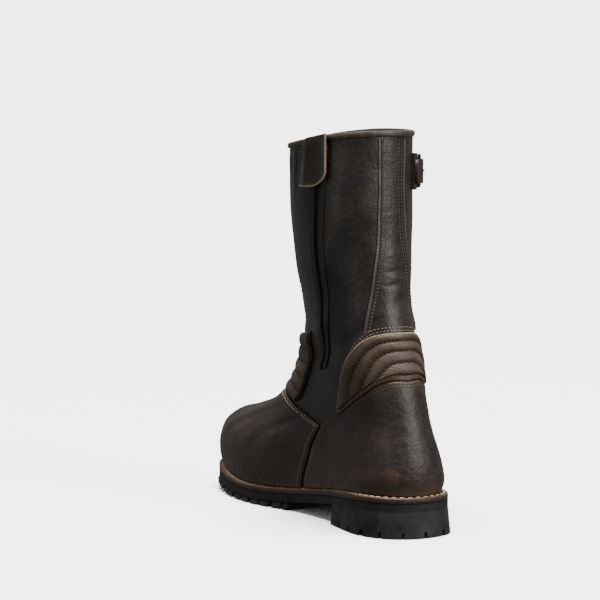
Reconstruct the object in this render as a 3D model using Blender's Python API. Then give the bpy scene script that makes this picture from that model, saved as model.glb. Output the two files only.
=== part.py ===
"""Right motorcycle boot, standing empty on its lugged sole.

Metres. The toe points along +Y, the outer (lateral) side is +X, the inner (medial)
side is -X, and the floor is Z = 0. The origin is the middle of the heel's tread.

The foot and shaft are one surface, made of hoops that run from the back of the boot to
its front. A point on it is named by a hoop number and a turn, the angle round the hoop
from the back seam, positive on the outer side. Every panel is a shell on that surface.
"""
import math
from collections import namedtuple

import bmesh
import bpy
import numpy as np

MM = 0.001

# The foot and the shaft
LENGTH = 305 * MM
HEEL_BACK = 42 * MM
HEEL_WIDTH = 77 * MM
WAIST_WIDTH = 76 * MM
BALL_WIDTH = 108.5 * MM
HEEL_SEAT = 30.5 * MM
FOREFOOT_SEAT = 14.8 * MM
TOE_SPRING = 9 * MM
INSTEP_HEIGHT = 148 * MM
ANKLE_HEIGHT = 163 * MM
BACK_HEIGHT = 298 * MM
FRONT_HEIGHT = 292 * MM
SIDE_HEIGHT = (BACK_HEIGHT + FRONT_HEIGHT) / 2
COLLAR_TWIST = 8 * MM
SHAFT_WIDTH = 86 * MM
ANKLE_WIDTH = 67 * MM
SHAFT_LEAN = 8 * MM

# Leather, welt and clearances
WALL = 2.4 * MM
PANEL = 1.6 * MM
GAP = 0.35 * MM
PANEL_GAP = 0.65 * MM
WELT_THICK = 4.4 * MM
WELT_REACH = 7.5 * MM
WELT_INSET = 2.4 * MM
UPPER_INSET = 8.4 * MM
INSOLE_THICK = 7 * MM
INSOLE_CLEAR = 2.4 * MM
COLLAR_ROLL = 5 * MM
COLLAR_OUT = 1.5 * MM

# Rubber
SHEET_THICK = 6 * MM
SIDE_FLARE = 2 * MM
LUG_LENGTH = 31 * MM
TOE_LUG_LENGTH = 38 * MM
TOE_FOCUS = 0.80
LUG_PITCH = 13.4 * MM
TOE_LUG_PITCH = 18.5 * MM
TOE_LUGS_START = 0.90
LUG_SINK = 1 * MM
SLOT = 2.1 * MM
WIDE_SLOT = 3.8 * MM
DIAMOND = 6.2 * MM
TREAD_END_MEDIAL = 0.505
TREAD_END_LATERAL = 0.48
STUD_SIZE = 15 * MM
BREAST = 38 * MM
BREAST_BOW = 7 * MM
HEEL_LUG_LENGTH = 27 * MM
HEEL_LUG_PITCH = 18 * MM
HEEL_LUG_DEPTH = 4.6 * MM
HEEL_FOCUS = 12 * MM
HEEL_MOAT = 1.6 * MM
HEEL_OVAL_WIDTH = 22 * MM
HEEL_OVAL_LENGTH = 30 * MM

# Quilted pads, seams, zip, strap and buckle
PAD_THICK = 3.6 * MM
PAD_VALLEY = 1.5 * MM
PAD_SPLIT = 1.3 * MM
PAD_RIBS = 4
PAD_CORE_TURN = 19.8
INSTEP_RIBS = 5
SEAM_WIDTH = 4 * MM
SEAM_THICK = 1.1 * MM
ZIP_WIDTH = 15 * MM
ZIP_TAPE = 0.8 * MM
ZIP_CHAIN_WIDTH = 5 * MM
ZIP_CHAIN = 1.7 * MM
SLIDER_LENGTH = 11 * MM
SLIDER_WIDTH = 8 * MM
SLIDER_THICK = 1.6 * MM
FLAP_THICK = 1.8 * MM
FLAP_RISE = 5.5 * MM
FLAP_DROP = 4.5 * MM
FLAP_LENGTH = 40 * MM
FLAP_CORNER = 13 * MM
STRAP_WIDTH = 18.5 * MM
STRAP_THICK = 2 * MM
STRAP_DROP = 23.5 * MM
STRAP_RUN_IN = 14 * MM
STRAP_TIP = 7 * MM
CHAPE_LEAF = 1.1 * MM
CHAPE_SLIT = 0.25 * MM
CHAPE_BACK = 21 * MM
CHAPE_RISE = 8 * MM
CHAPE_HEIGHT = 28 * MM
CHAPE_NECK = 17 * MM
BUCKLE_HEIGHT = 26 * MM
BUCKLE_LENGTH = 19 * MM
BUCKLE_CORNER = 4 * MM
BUCKLE_ROD = 2.6 * MM
BUCKLE_RAKE = 4.2 * MM
BUCKLE_TURN = 58
STRAP_SEWN_TURN = 150
PRONG_ROD = 1.8 * MM
PRONG_SLOT = 3.6 * MM
PRONG_HOLE = 8 * MM

AROUND = 48
SOLE_STATIONS = 56

SoleRow = namedtuple("SoleRow", "share width lateral")
SOLE_ROWS = (
    SoleRow(0.000, 0.000 * HEEL_WIDTH, 0.500),
    SoleRow(0.020, 0.575 * HEEL_WIDTH, 0.530),
    SoleRow(0.060, 0.845 * HEEL_WIDTH, 0.512),
    SoleRow(0.130, 0.995 * HEEL_WIDTH, 0.503),
    SoleRow(0.220, 0.990 * HEEL_WIDTH, 0.528),
    SoleRow(0.330, 1.000 * WAIST_WIDTH, 0.583),
    SoleRow(0.430, 1.120 * WAIST_WIDTH, 0.620),
    SoleRow(0.520, 0.880 * BALL_WIDTH, 0.612),
    SoleRow(0.620, 0.988 * BALL_WIDTH, 0.580),
    SoleRow(0.690, 0.992 * BALL_WIDTH, 0.563),
    SoleRow(0.770, 0.940 * BALL_WIDTH, 0.552),
    SoleRow(0.850, 0.820 * BALL_WIDTH, 0.543),
    SoleRow(0.920, 0.655 * BALL_WIDTH, 0.528),
    SoleRow(0.970, 0.440 * BALL_WIDTH, 0.505),
    SoleRow(1.000, 0.000 * BALL_WIDTH, 0.500),
)

# How much of the heel's rise is left at each share of the length
SeatRow = namedtuple("SeatRow", "share rise")
SEAT_ROWS = (
    SeatRow(0.00, 1.00),
    SeatRow(0.14, 0.94),
    SeatRow(0.30, 0.66),
    SeatRow(0.45, 0.28),
    SeatRow(0.58, 0.05),
    SeatRow(0.66, 0.00),
    SeatRow(1.00, 0.00),
)
SPRING_START = 0.66
SPRING_CURVE = 1.8

# back and front are shares of the length from the back of the sole. Heights run from 0 at
# the seat to 1 at the ankle or instep and 2 at the collar. widest is where along the hoop
# it is widest, round how far it has turned from the sole's outline into an oval, level how
# far it has turned from the sole's curve into a plane, and lean and ridge where its back
# and front stand to the inner side, as shares of the shaft's lean.
FEATHER = UPPER_INSET / LENGTH
HEEL_FEATHER = HEEL_WIDTH / 2 - UPPER_INSET
BALL_FEATHER = BALL_WIDTH / 2 - UPPER_INSET
Hoop = namedtuple("Hoop", "back back_up front front_up heel fore widest round level lean ridge")
HOOPS = (
    Hoop(FEATHER, 0.000, 1 - FEATHER, 0.000, HEEL_FEATHER, BALL_FEATHER, 0.14, 0.00, 0.00, 0.00, 0.00),
    Hoop(0.0180, 0.072, 0.9840, 0.095, 0.415 * HEEL_WIDTH, 0.442 * BALL_WIDTH, 0.14, 0.00, 0.00, 0.00, 0.00),
    Hoop(0.0187, 0.163, 0.9850, 0.190, 0.396 * HEEL_WIDTH, 0.433 * BALL_WIDTH, 0.14, 0.04, 0.15, 0.06, 0.10),
    Hoop(0.0279, 0.268, 0.9640, 0.285, 0.361 * HEEL_WIDTH, 0.396 * BALL_WIDTH, 0.14, 0.15, 0.40, 0.15, 0.20),
    Hoop(0.0426, 0.389, 0.9050, 0.368, 0.332 * HEEL_WIDTH, 0.332 * BALL_WIDTH, 0.15, 0.50, 0.70, 0.25, 0.30),
    Hoop(0.0557, 0.509, 0.8070, 0.432, 0.338 * HEEL_WIDTH, 0.286 * BALL_WIDTH, 0.17, 0.85, 1.00, 0.32, 0.38),
    Hoop(0.0700, 0.630, 0.6980, 0.517, 0.410 * ANKLE_WIDTH, 0.272 * BALL_WIDTH, 0.20, 1.00, 1.00, 0.40, 0.45),
    Hoop(0.0845, 0.750, 0.6030, 0.648, 0.448 * ANKLE_WIDTH, 0.272 * BALL_WIDTH, 0.26, 1.00, 1.00, 0.50, 0.52),
    Hoop(0.0985, 0.872, 0.5380, 0.822, 0.466 * ANKLE_WIDTH, 0.272 * BALL_WIDTH, 0.34, 1.00, 1.00, 0.62, 0.60),
    Hoop(0.1110, 1.000, 0.5060, 1.000, 0.500 * ANKLE_WIDTH, 0.272 * BALL_WIDTH, 0.42, 1.00, 1.00, 0.70, 0.68),
    Hoop(0.1215, 1.126, 0.5000, 1.160, 0.522 * ANKLE_WIDTH, 0.272 * BALL_WIDTH, 0.47, 1.00, 1.00, 0.76, 0.76),
    Hoop(0.1270, 1.311, 0.5060, 1.370, 0.460 * SHAFT_WIDTH, 0.272 * BALL_WIDTH, 0.50, 1.00, 1.00, 0.86, 0.86),
    Hoop(0.1310, 1.607, 0.5140, 1.655, 0.496 * SHAFT_WIDTH, 0.272 * BALL_WIDTH, 0.50, 1.00, 1.00, 1.00, 1.00),
    Hoop(0.1310, 2.000, 0.5170, 2.000, 0.500 * SHAFT_WIDTH, 0.272 * BALL_WIDTH, 0.50, 1.00, 1.00, 1.00, 1.00),
)
COLLAR_HOOP = len(HOOPS) - 1
TWIST_START = 10

# Edges of the panels: turn from the back seam in degrees, height in shares of ANKLE_HEIGHT
COUNTER_CORNER = 75.5
PANEL_SPLIT = 1.5
PANEL_FOOT = 0.1
Edge = namedtuple("Edge", "turn height")
COUNTER_TOP = (
    Edge(0.0, 0.707),
    Edge(16.0, 0.708),
    Edge(27.0, 0.688),
    Edge(38.0, 0.646),
    Edge(49.0, 0.596),
    Edge(61.0, 0.530),
    Edge(71.0, 0.475),
    Edge(COUNTER_CORNER, 0.446),
)
PAD_TOP = (
    Edge(0.0, 0.923),
    Edge(20.0, 0.918),
    Edge(36.0, 0.892),
    Edge(48.5, 0.833),
    Edge(57.0, 0.750),
    Edge(61.5, 0.670),
    Edge(63.0, 0.600),
    Edge(63.0, 0.536),
)
VAMP_TOP = (
    Edge(COUNTER_CORNER, 0.434),
    Edge(84.0, 0.463),
    Edge(92.0, 0.488),
    Edge(105.0, 0.518),
    Edge(120.0, 0.540),
    Edge(140.0, 0.556),
    Edge(180.0, 0.565),
)

# The counter's front edge: turn at shares of the way up from the welt
FrontRow = namedtuple("FrontRow", "up turn")
COUNTER_FRONT = (
    FrontRow(0.00, 83.5),
    FrontRow(0.25, 82.5),
    FrontRow(0.50, 80.0),
    FrontRow(0.75, 78.3),
    FrontRow(1.00, COUNTER_CORNER),
)

# The two seams of the back panel, at heights in shares of BACK_HEIGHT
SeamRow = namedtuple("SeamRow", "height medial lateral")
SEAM_ROWS = (
    SeamRow(0.994, -11.0, 19.0),
    SeamRow(0.820, -11.2, 19.5),
    SeamRow(0.716, -14.8, 23.5),
    SeamRow(0.663, -19.2, 28.0),
    SeamRow(0.611, -24.5, 33.0),
    SeamRow(0.547, -32.2, 39.5),
    SeamRow(0.506, -36.6, 43.0),
)

# The zip on the inner side, at heights in shares of SIDE_HEIGHT
ZipRow = namedtuple("ZipRow", "height turn")
ZIP_ROWS = (
    ZipRow(0.404, -86.0),
    ZipRow(0.525, -82.5),
    ZipRow(0.687, -76.5),
    ZipRow(0.848, -70.5),
    ZipRow(0.986, -66.5),
)
FLAP_REAR_TURN = -58.0
FLAP_FRONT_TURN = -90.0
FLAP_SLANT = 6.5


def clear_scene():
    for thing in list(bpy.data.objects):
        bpy.data.objects.remove(thing, do_unlink=True)


def material(name, colour, roughness, metallic=0.0):
    made = bpy.data.materials.new(name)
    made.use_nodes = True
    shader = made.node_tree.nodes["Principled BSDF"]
    shader.inputs["Base Color"].default_value = (*colour, 1.0)
    shader.inputs["Roughness"].default_value = roughness
    shader.inputs["Metallic"].default_value = metallic
    return made


def smooth_through(keys, values, at):
    """A cubic curve through the rows of a table."""
    keys = np.asarray(keys, float)
    values = np.asarray(values, float)
    at = np.clip(np.asarray(at, float), keys[0], keys[-1])
    slopes = np.gradient(values, keys)
    low = np.clip(np.searchsorted(keys, at) - 1, 0, len(keys) - 2)
    span = keys[low + 1] - keys[low]
    t = (at - keys[low]) / span
    start = values[low] * (1 + 2 * t) * (1 - t) ** 2 + span * slopes[low] * t * (1 - t) ** 2
    end = values[low + 1] * t * t * (3 - 2 * t) + span * slopes[low + 1] * t * t * (t - 1)
    return start + end


def ease(t):
    t = np.clip(t, 0, 1)
    return t * t * (3 - 2 * t)


def place(share):
    """The Y of a share of the length."""
    return share * LENGTH - HEEL_BACK


def share_of(y):
    return np.clip((y + HEEL_BACK) / LENGTH, 0, 1)


# The sole's plan and its side view

SOLE_ANGLES = np.arccos(1 - 2 * np.array([row.share for row in SOLE_ROWS]))


def sole_sides(share):
    """The widths of the outsole to the outer and the inner side."""
    angle = np.arccos(1 - 2 * np.clip(share, 0, 1))
    width = smooth_through(SOLE_ANGLES, [row.width for row in SOLE_ROWS], angle)
    lateral = smooth_through(SOLE_ANGLES, [row.lateral for row in SOLE_ROWS], angle)
    return width * lateral, width * (1 - lateral)


def plan_point(angle):
    """A point of the outsole's outline. 0 is the back, pi the toe, and beyond it the inner side."""
    share = (1 - np.cos(angle)) / 2
    lateral, medial = sole_sides(share)
    x = np.where(np.sin(angle) >= 0, lateral, -medial)
    return np.stack([x, place(share)], -1)


def plan_loop(angles, inset=0.0):
    """Points of the outline, moved inwards by a distance."""
    angles = np.asarray(angles, float)
    step = 0.004
    along = plan_point(angles + step) - plan_point(angles - step)
    along /= np.linalg.norm(along, axis=-1, keepdims=True)
    inwards = np.stack([-along[..., 1], along[..., 0]], -1)
    return plan_point(angles) + inwards * inset


def seat(y):
    """The height of the welt's top."""
    share = share_of(y)
    rise = smooth_through([row.share for row in SEAT_ROWS], [row.rise for row in SEAT_ROWS], share)
    return FOREFOOT_SEAT + (HEEL_SEAT - FOREFOOT_SEAT) * rise + tread(y)


def tread(y):
    """The height of the tread's lowest faces: the floor, then the toe spring."""
    t = np.clip((share_of(y) - SPRING_START) / (1 - SPRING_START), 0, 1)
    return TOE_SPRING * t ** SPRING_CURVE


def welt_under(y):
    return seat(y) - WELT_THICK


def sheet_top(y):
    return welt_under(y) - GAP


def sheet_under(y):
    return sheet_top(y) - SHEET_THICK


# The surface of the upper

HOOP_KEYS = np.arange(len(HOOPS))


def hoop_value(column, hoop):
    return smooth_through(HOOP_KEYS, [getattr(row, column) for row in HOOPS], hoop)


def split_height(up, low, middle, high):
    """0 is low, 1 the middle and 2 high."""
    return np.where(up < 1, low + (middle - low) * up, middle + (high - middle) * (up - 1))


def upper_base(hoop, turn):
    """A point of the surface, for a hoop number and a turn in degrees."""
    hoop, turn = np.broadcast_arrays(np.asarray(hoop, float), np.asarray(turn, float))
    angle = np.radians(turn)
    share = (1 - np.cos(angle)) / 2
    back_y = place(hoop_value("back", hoop))
    front_y = place(hoop_value("front", hoop))
    y = back_y + (front_y - back_y) * share
    back_z = split_height(hoop_value("back_up", hoop), seat(back_y), ANKLE_HEIGHT, BACK_HEIGHT)
    front_z = split_height(hoop_value("front_up", hoop), seat(front_y), INSTEP_HEIGHT, FRONT_HEIGHT)
    plane = back_z + (front_z - back_z) * share
    rise = (back_z - seat(back_y)) * (1 - share) + (front_z - seat(front_y)) * share
    level = hoop_value("level", hoop)
    z = (seat(y) + rise) * (1 - level) + plane * level
    twist = ease((hoop - TWIST_START) / (COLLAR_HOOP - TWIST_START))
    z = z + COLLAR_TWIST * twist * np.sin(angle) * share

    lateral, medial = sole_sides(share)
    blend = ease(share / 0.7)
    named = HEEL_WIDTH / 2 * (1 - blend) + BALL_WIDTH / 2 * blend
    heel = hoop_value("heel", hoop)
    here = heel * (1 - blend) + hoop_value("fore", hoop) * blend
    scale = here / named
    foot_half = (lateral + medial) / 2 * scale
    foot_middle = (lateral - medial) / 2 * scale
    widest = hoop_value("widest", hoop)
    reach = np.where(share < widest, (widest - share) / widest, (share - widest) / (1 - widest))
    oval_half = heel * np.sqrt(np.clip(1 - reach ** 2, 0, 1))
    lean = hoop_value("lean", hoop) * (1 - share) + hoop_value("ridge", hoop) * share
    roundness = hoop_value("round", hoop)
    half = foot_half * (1 - roundness) + oval_half * roundness
    middle = foot_middle * (1 - roundness) - SHAFT_LEAN * lean
    x = middle + np.sign(np.sin(angle)) * half
    return np.stack([x, y, z], -1)


def upper_normal(hoop, turn):
    step_hoop = 0.04
    step_turn = 1.2
    high = upper_base(np.clip(hoop + step_hoop, 0, COLLAR_HOOP), turn)
    low = upper_base(np.clip(hoop - step_hoop, 0, COLLAR_HOOP), turn)
    after = upper_base(hoop, turn + step_turn)
    before = upper_base(hoop, turn - step_turn)
    across = np.cross(after - before, high - low)
    return across / np.linalg.norm(across, axis=-1, keepdims=True)


def on_upper(hoop, turn, lift=0.0):
    """A point that stands a distance off the surface."""
    hoop, turn, lift = np.broadcast_arrays(*(np.asarray(v, float) for v in (hoop, turn, lift)))
    return upper_base(hoop, turn) + upper_normal(hoop, turn) * lift[..., None]


def hoop_at(turn, height):
    """The hoop number at which the surface reaches a height."""
    turn, height = np.broadcast_arrays(np.asarray(turn, float), np.asarray(height, float))
    low = np.zeros(turn.shape)
    high = np.full(turn.shape, float(COLLAR_HOOP))
    for _ in range(26):
        middle = (low + high) / 2
        under = upper_base(middle, turn)[..., 2] < height
        low = np.where(under, middle, low)
        high = np.where(under, high, middle)
    return (low + high) / 2


# Mesh builders

def add_object(name, vertices, faces, finish, smooth=True):
    mesh = bpy.data.meshes.new(name)
    mesh.from_pydata([tuple(float(v) for v in p) for p in vertices], [], faces)
    work = bmesh.new()
    work.from_mesh(mesh)
    bmesh.ops.triangulate(work, faces=work.faces)
    bmesh.ops.recalc_face_normals(work, faces=work.faces)
    if work.calc_volume(signed=True) < 0:
        bmesh.ops.reverse_faces(work, faces=work.faces)
    work.to_mesh(mesh)
    work.free()
    if smooth:
        mesh.shade_smooth()
        mesh.set_sharp_from_angle(angle=math.radians(35))
    made = bpy.data.objects.new(name, mesh)
    made.data.materials.append(finish)
    bpy.context.scene.collection.objects.link(made)
    return made


def grid_faces(rows, columns, start=0, wrap=False):
    faces = []
    last = columns if wrap else columns - 1
    for row in range(rows - 1):
        for column in range(last):
            beside = (column + 1) % columns
            a = start + row * columns
            b = a + columns
            faces.append((a + column, a + beside, b + beside, b + column))
    return faces


def shell(name, outer, inner, finish):
    """A closed sheet between two grids of points."""
    rows, columns = outer.shape[:2]
    count = rows * columns
    vertices = list(outer.reshape(-1, 3)) + list(inner.reshape(-1, 3))
    faces = grid_faces(rows, columns)
    faces += [tuple(count + i for i in reversed(face)) for face in faces]
    rim = [(0, c) for c in range(columns)] + [(r, columns - 1) for r in range(1, rows)]
    rim += [(rows - 1, c) for c in range(columns - 2, -1, -1)] + [(r, 0) for r in range(rows - 2, 0, -1)]
    flat = [r * columns + c for r, c in rim]
    for here, after in zip(flat, flat[1:] + flat[:1]):
        faces.append((after, here, count + here, count + after))
    return add_object(name, vertices, faces, finish)


def ring(name, loops, finish):
    """A closed band made of loops that go round the boot, joined last to first."""
    count = len(loops[0])
    vertices = [p for loop in loops for p in loop]
    faces = grid_faces(len(loops), count, wrap=True)
    top = (len(loops) - 1) * count
    for i in range(count):
        after = (i + 1) % count
        faces.append((top + i, top + after, after, i))
    return add_object(name, vertices, faces, finish)


def plank(name, loops, finish):
    """Stacked loops whose ends are closed by strips from side to side."""
    count = len(loops[0])
    vertices = [p for loop in loops for p in loop]
    faces = grid_faces(len(loops), count, wrap=True)
    for start in (0, (len(loops) - 1) * count):
        for i in range(1, count // 2):
            far = count - i
            if i == 1:
                faces.append((start, start + 1, start + far))
            if i == count // 2 - 1:
                faces.append((start + i, start + i + 1, start + far))
            else:
                faces.append((start + i, start + i + 1, start + far - 1, start + far))
    return add_object(name, vertices, faces, finish)


def bar(name, sections, finish):
    """Sections of the same number of points, joined in a row and capped."""
    count = len(sections[0])
    vertices = [p for section in sections for p in section]
    faces = grid_faces(len(sections), count, wrap=True)
    last = (len(sections) - 1) * count
    faces.append(tuple(reversed(range(count))))
    faces.append(tuple(range(last, last + count)))
    return add_object(name, vertices, faces, finish)


def prisms(name, outlines, low, high):
    """Upright cutters or studs with the given plans, in one mesh."""
    vertices = []
    faces = []
    for outline in outlines:
        start = len(vertices)
        count = len(outline)
        vertices += [(x, y, low) for x, y in outline] + [(x, y, high) for x, y in outline]
        faces.append(tuple(start + i for i in reversed(range(count))))
        faces.append(tuple(start + count + i for i in range(count)))
        for i in range(count):
            after = (i + 1) % count
            faces.append((start + i, start + after, start + count + after, start + count + i))
    return add_object(name, vertices, faces, CUTTER, smooth=False)


def boolean(target, other, operation):
    step = target.modifiers.new(other.name, "BOOLEAN")
    step.operation = operation
    step.solver = "EXACT"
    step.object = other
    other.hide_render = True
    other.display_type = "WIRE"


def with_height(points, height):
    """Plan points raised to a height, or to a function of their Y."""
    z = height(points[:, 1]) if callable(height) else np.full(len(points), height)
    return np.column_stack([points, z])


# Rubber

def sole_angles():
    return np.arange(SOLE_STATIONS) * 2 * math.pi / SOLE_STATIONS


def tread_ray(angle):
    """The edge at an angle of the outline, the way its lugs run in from there, and their length."""
    edge = plan_point(angle)
    share = (1 - np.cos(angle)) / 2
    focus_share = np.minimum(share, TOE_FOCUS)
    lateral, medial = sole_sides(focus_share)
    focus = np.stack([(lateral - medial) / 2, place(focus_share)], -1)
    inwards = focus - edge
    inwards /= np.linalg.norm(inwards, axis=-1, keepdims=True)
    at_toe = ease((share - TOE_FOCUS) / (1 - TOE_FOCUS))
    return edge, inwards, LUG_LENGTH + (TOE_LUG_LENGTH - LUG_LENGTH) * at_toe


def heel_ray(angle):
    """The same for the heel, whose lugs point to its oval."""
    edge = plan_point(angle)
    focus = np.array([0.0, np.clip(edge[1], 0, HEEL_FOCUS)])
    inwards = focus - edge
    return edge, inwards / np.linalg.norm(inwards), HEEL_LUG_LENGTH


def slot_outline(ray, slot):
    """The plan of a groove that runs in from the edge, with a diamond part way along."""
    edge, inwards, length = ray
    beside = np.array([-inwards[1], inwards[0]])
    half = slot / 2
    rows = (
        (-0.20, half * 1.15),
        (0.50, half),
        (0.59, max(DIAMOND / 2, half * 1.3)),
        (0.68, half * 0.9),
        (1.06, half * 0.8),
    )
    one_side = [edge + inwards * length * along + beside * reach for along, reach in rows]
    other_side = [edge + inwards * length * along - beside * reach for along, reach in reversed(rows)]
    return one_side + other_side


def angles_by_pitch(start, end, pitch):
    """Angles of the outline a pitch apart along its edge, with half a pitch at each end."""
    fine = np.linspace(start, end, 400)
    edge = plan_point(fine)
    run = np.concatenate([[0], np.cumsum(np.linalg.norm(np.diff(edge, axis=0), axis=1))])
    count = max(1, round(run[-1] / pitch))
    marks = (np.arange(count) + 0.5) * run[-1] / count
    return list(np.interp(marks, run, fine))


def share_angle(share, medial=False):
    angle = math.acos(1 - 2 * share)
    return 2 * math.pi - angle if medial else angle


def stud_outline(centre, size, start):
    """A four-leaf stud."""
    points = []
    for i in range(16):
        angle = start + i * math.pi / 8
        radius = size / 2 * (1.0, 0.86, 0.48, 0.86)[i % 4]
        points.append((centre[0] + radius * math.cos(angle), centre[1] + radius * math.sin(angle)))
    return points


# The studs down the middle of the tread: share of the length, and X as a share of BALL_WIDTH
StudRow = namedtuple("StudRow", "share side start")
STUD_ROWS = (
    StudRow(0.822, 0.056, 0.2),
    StudRow(0.750, 0.122, 0.6),
    StudRow(0.697, -0.017, 0.1),
    StudRow(0.613, 0.020, 0.5),
    StudRow(0.541, 0.096, 0.3),
)


def lug_top(y):
    """Where the lugs end inside the sheet."""
    return sheet_under(y) + LUG_SINK


def make_outsole(rubber):
    angles = sole_angles()
    edge = plan_loop(angles, SIDE_FLARE)
    sheet = plank("outsole", [with_height(edge, sheet_under), with_height(edge, sheet_top)], rubber)

    start = share_angle(TREAD_END_LATERAL)
    end = share_angle(TREAD_END_MEDIAL, medial=True)
    around = np.linspace(start, end, 44)
    rim, inwards, length = tread_ray(around)
    outside = rim + inwards * SIDE_FLARE * 0.4
    sunk = rim + inwards * SIDE_FLARE * 1.6
    inside = rim + inwards * length[:, None]
    sides = (
        with_height(sunk, lug_top),
        with_height(outside, tread),
        with_height(inside, tread),
        with_height(inside, lug_top),
    )
    lugs = bar("lug_band", list(zip(*sides)), rubber)

    toe_start = share_angle(TOE_LUGS_START)
    toe_end = share_angle(TOE_LUGS_START, medial=True)
    marks = angles_by_pitch(start, toe_start, LUG_PITCH)
    marks += angles_by_pitch(toe_start, toe_end, TOE_LUG_PITCH)
    marks += angles_by_pitch(toe_end, end, LUG_PITCH)
    for side in range(2):
        plans = [slot_outline(tread_ray(mark), (SLOT, WIDE_SLOT)[side]) for mark in marks[side::2]]
        boolean(lugs, prisms(f"lug_slots_{side}", plans, -0.02, 0.05), "DIFFERENCE")
    boolean(sheet, lugs, "UNION")

    for number, row in enumerate(STUD_ROWS):
        centre = (row.side * BALL_WIDTH, place(row.share))
        plan = stud_outline(centre, STUD_SIZE, row.start)
        low = float(tread(centre[1]))
        stud = prisms(f"stud_{number}", [plan], low, float(lug_top(centre[1])))
        boolean(sheet, stud, "UNION")
    return sheet


def oval_loop(grow, height):
    """A loop round the oval in the middle of the heel, a distance outside it."""
    turns = np.arange(20) * math.pi / 10
    x = (HEEL_OVAL_WIDTH / 2 + grow) * np.cos(turns)
    y = (HEEL_OVAL_LENGTH / 2 + grow) * np.sin(turns)
    return np.column_stack([x, y, np.full(20, height)])


def make_heel(rubber):
    angles = sole_angles()
    tall = [
        with_height(plan_loop(angles, 0), 0.0),
        with_height(plan_loop(angles, SIDE_FLARE), lambda y: sheet_under(y) - GAP),
    ]
    block = plank("heel_block", tall, rubber)
    across = np.linspace(-1, 1, 9) * HEEL_WIDTH
    arc = [(x, BREAST + BREAST_BOW * (x / (HEEL_WIDTH / 2)) ** 2) for x in across]
    beyond = [(HEEL_WIDTH, LENGTH), (-HEEL_WIDTH, LENGTH)]
    boolean(block, prisms("breast_cut", [arc + beyond], -0.01, 0.08), "DIFFERENCE")

    breast_share = float(share_of(BREAST - 2 * MM))
    marks = angles_by_pitch(-share_angle(breast_share), share_angle(breast_share), HEEL_LUG_PITCH)
    plans = [slot_outline(heel_ray(mark), WIDE_SLOT if i == 2 else SLOT) for i, mark in enumerate(marks)]
    boolean(block, prisms("heel_slots", plans, -0.01, HEEL_LUG_DEPTH), "DIFFERENCE")

    moat = [(0, -0.01), (HEEL_MOAT, -0.01), (HEEL_MOAT, HEEL_LUG_DEPTH * 0.9), (0, HEEL_LUG_DEPTH * 0.9)]
    loops = [oval_loop(grow, height) for grow, height in moat]
    boolean(block, ring("heel_moat", loops, CUTTER), "DIFFERENCE")
    return block


# Welt, insole and upper

def make_welt(leather):
    angles = sole_angles()
    outside = plan_loop(angles, WELT_INSET)
    inside = plan_loop(angles, WELT_INSET + WELT_REACH)
    loops = [
        with_height(outside, welt_under),
        with_height(plan_loop(angles, WELT_INSET - 0.5 * MM), lambda y: seat(y) - WELT_THICK / 2),
        with_height(outside, seat),
        with_height(inside, seat),
        with_height(inside, welt_under),
    ]
    return ring("welt", loops, leather)


def make_insole(leather):
    edge = plan_loop(sole_angles(), UPPER_INSET + WALL + INSOLE_CLEAR)
    loops = [with_height(edge, welt_under), with_height(edge, lambda y: welt_under(y) + INSOLE_THICK)]
    return plank("insole", loops, leather)


def upper_rows():
    """Hoops of the upper's mesh, closest together round the foot."""
    foot = np.linspace(0, 0.4 * TWIST_START, 13)
    ankle = np.linspace(0.4 * TWIST_START, TWIST_START, 15)[1:]
    shaft = np.linspace(TWIST_START, COLLAR_HOOP, 5)[1:]
    return np.concatenate([foot, ankle, shaft])


def make_upper(leather):
    turns = np.arange(AROUND) * 360 / AROUND
    outer = []
    inner = []
    for hoop in upper_rows():
        outer.append(on_upper(hoop, turns))
    for hoop in upper_rows()[::-2]:
        inner.append(on_upper(hoop, turns, -WALL))
    for loop in (outer[0], inner[-1]):
        loop[:, 2] = seat(loop[:, 1]) + GAP
    return ring("upper", outer + inner, leather)


# Panels on the upper

def edge_heights(edges, turns):
    keys = [row.turn for row in edges]
    return ANKLE_HEIGHT * smooth_through(keys, [row.height for row in edges], np.abs(turns))


def panel_lift(rows, columns, thick, rim):
    """The height of a panel's face: thick, and thinner along its skived rim."""
    lift = np.full((rows, columns), thick)
    for line in (lift[0], lift[-1], lift[:, 0], lift[:, -1]):
        line[:] = rim
    return lift


def panel(name, hoops, turns, thick, finish, low=PANEL_GAP):
    """A panel of even thickness over a grid of hoops and turns."""
    lift = low + panel_lift(*hoops.shape, thick, thick * 0.6)
    return shell(name, on_upper(hoops, turns, lift), on_upper(hoops, turns, low), finish)


def counter_front(up):
    """The turn of the counter's front edge, at shares of the way up."""
    return smooth_through([row.up for row in COUNTER_FRONT], [row.turn for row in COUNTER_FRONT], up)


def make_counter(leather):
    up = np.linspace(0, 1, 11)[:, None]
    turns = np.linspace(-1, 1, 25) * counter_front(up)
    top = hoop_at(turns, edge_heights(COUNTER_TOP, turns))
    hoops = PANEL_FOOT + (top - PANEL_FOOT) * up
    return panel("heel_counter", hoops, turns, PANEL, leather)


def make_vamp(leather):
    up = np.linspace(0, 1, 14)[:, None]
    turns = 180 + np.linspace(-1, 1, 25) * (180 - PANEL_SPLIT - counter_front(up))
    from_back = np.minimum(turns, 360 - turns)
    top = hoop_at(turns, edge_heights(VAMP_TOP, from_back))
    hoops = PANEL_FOOT + (top - PANEL_FOOT) * up
    return panel("vamp", hoops, turns, PANEL, leather)


def rib_lift(share, ribs):
    """Rounded ribs between stitched valleys."""
    wave = np.abs(np.sin(math.pi * ribs * share))
    return PAD_VALLEY + (PAD_THICK - PAD_VALLEY) * wave ** 0.7


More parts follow.
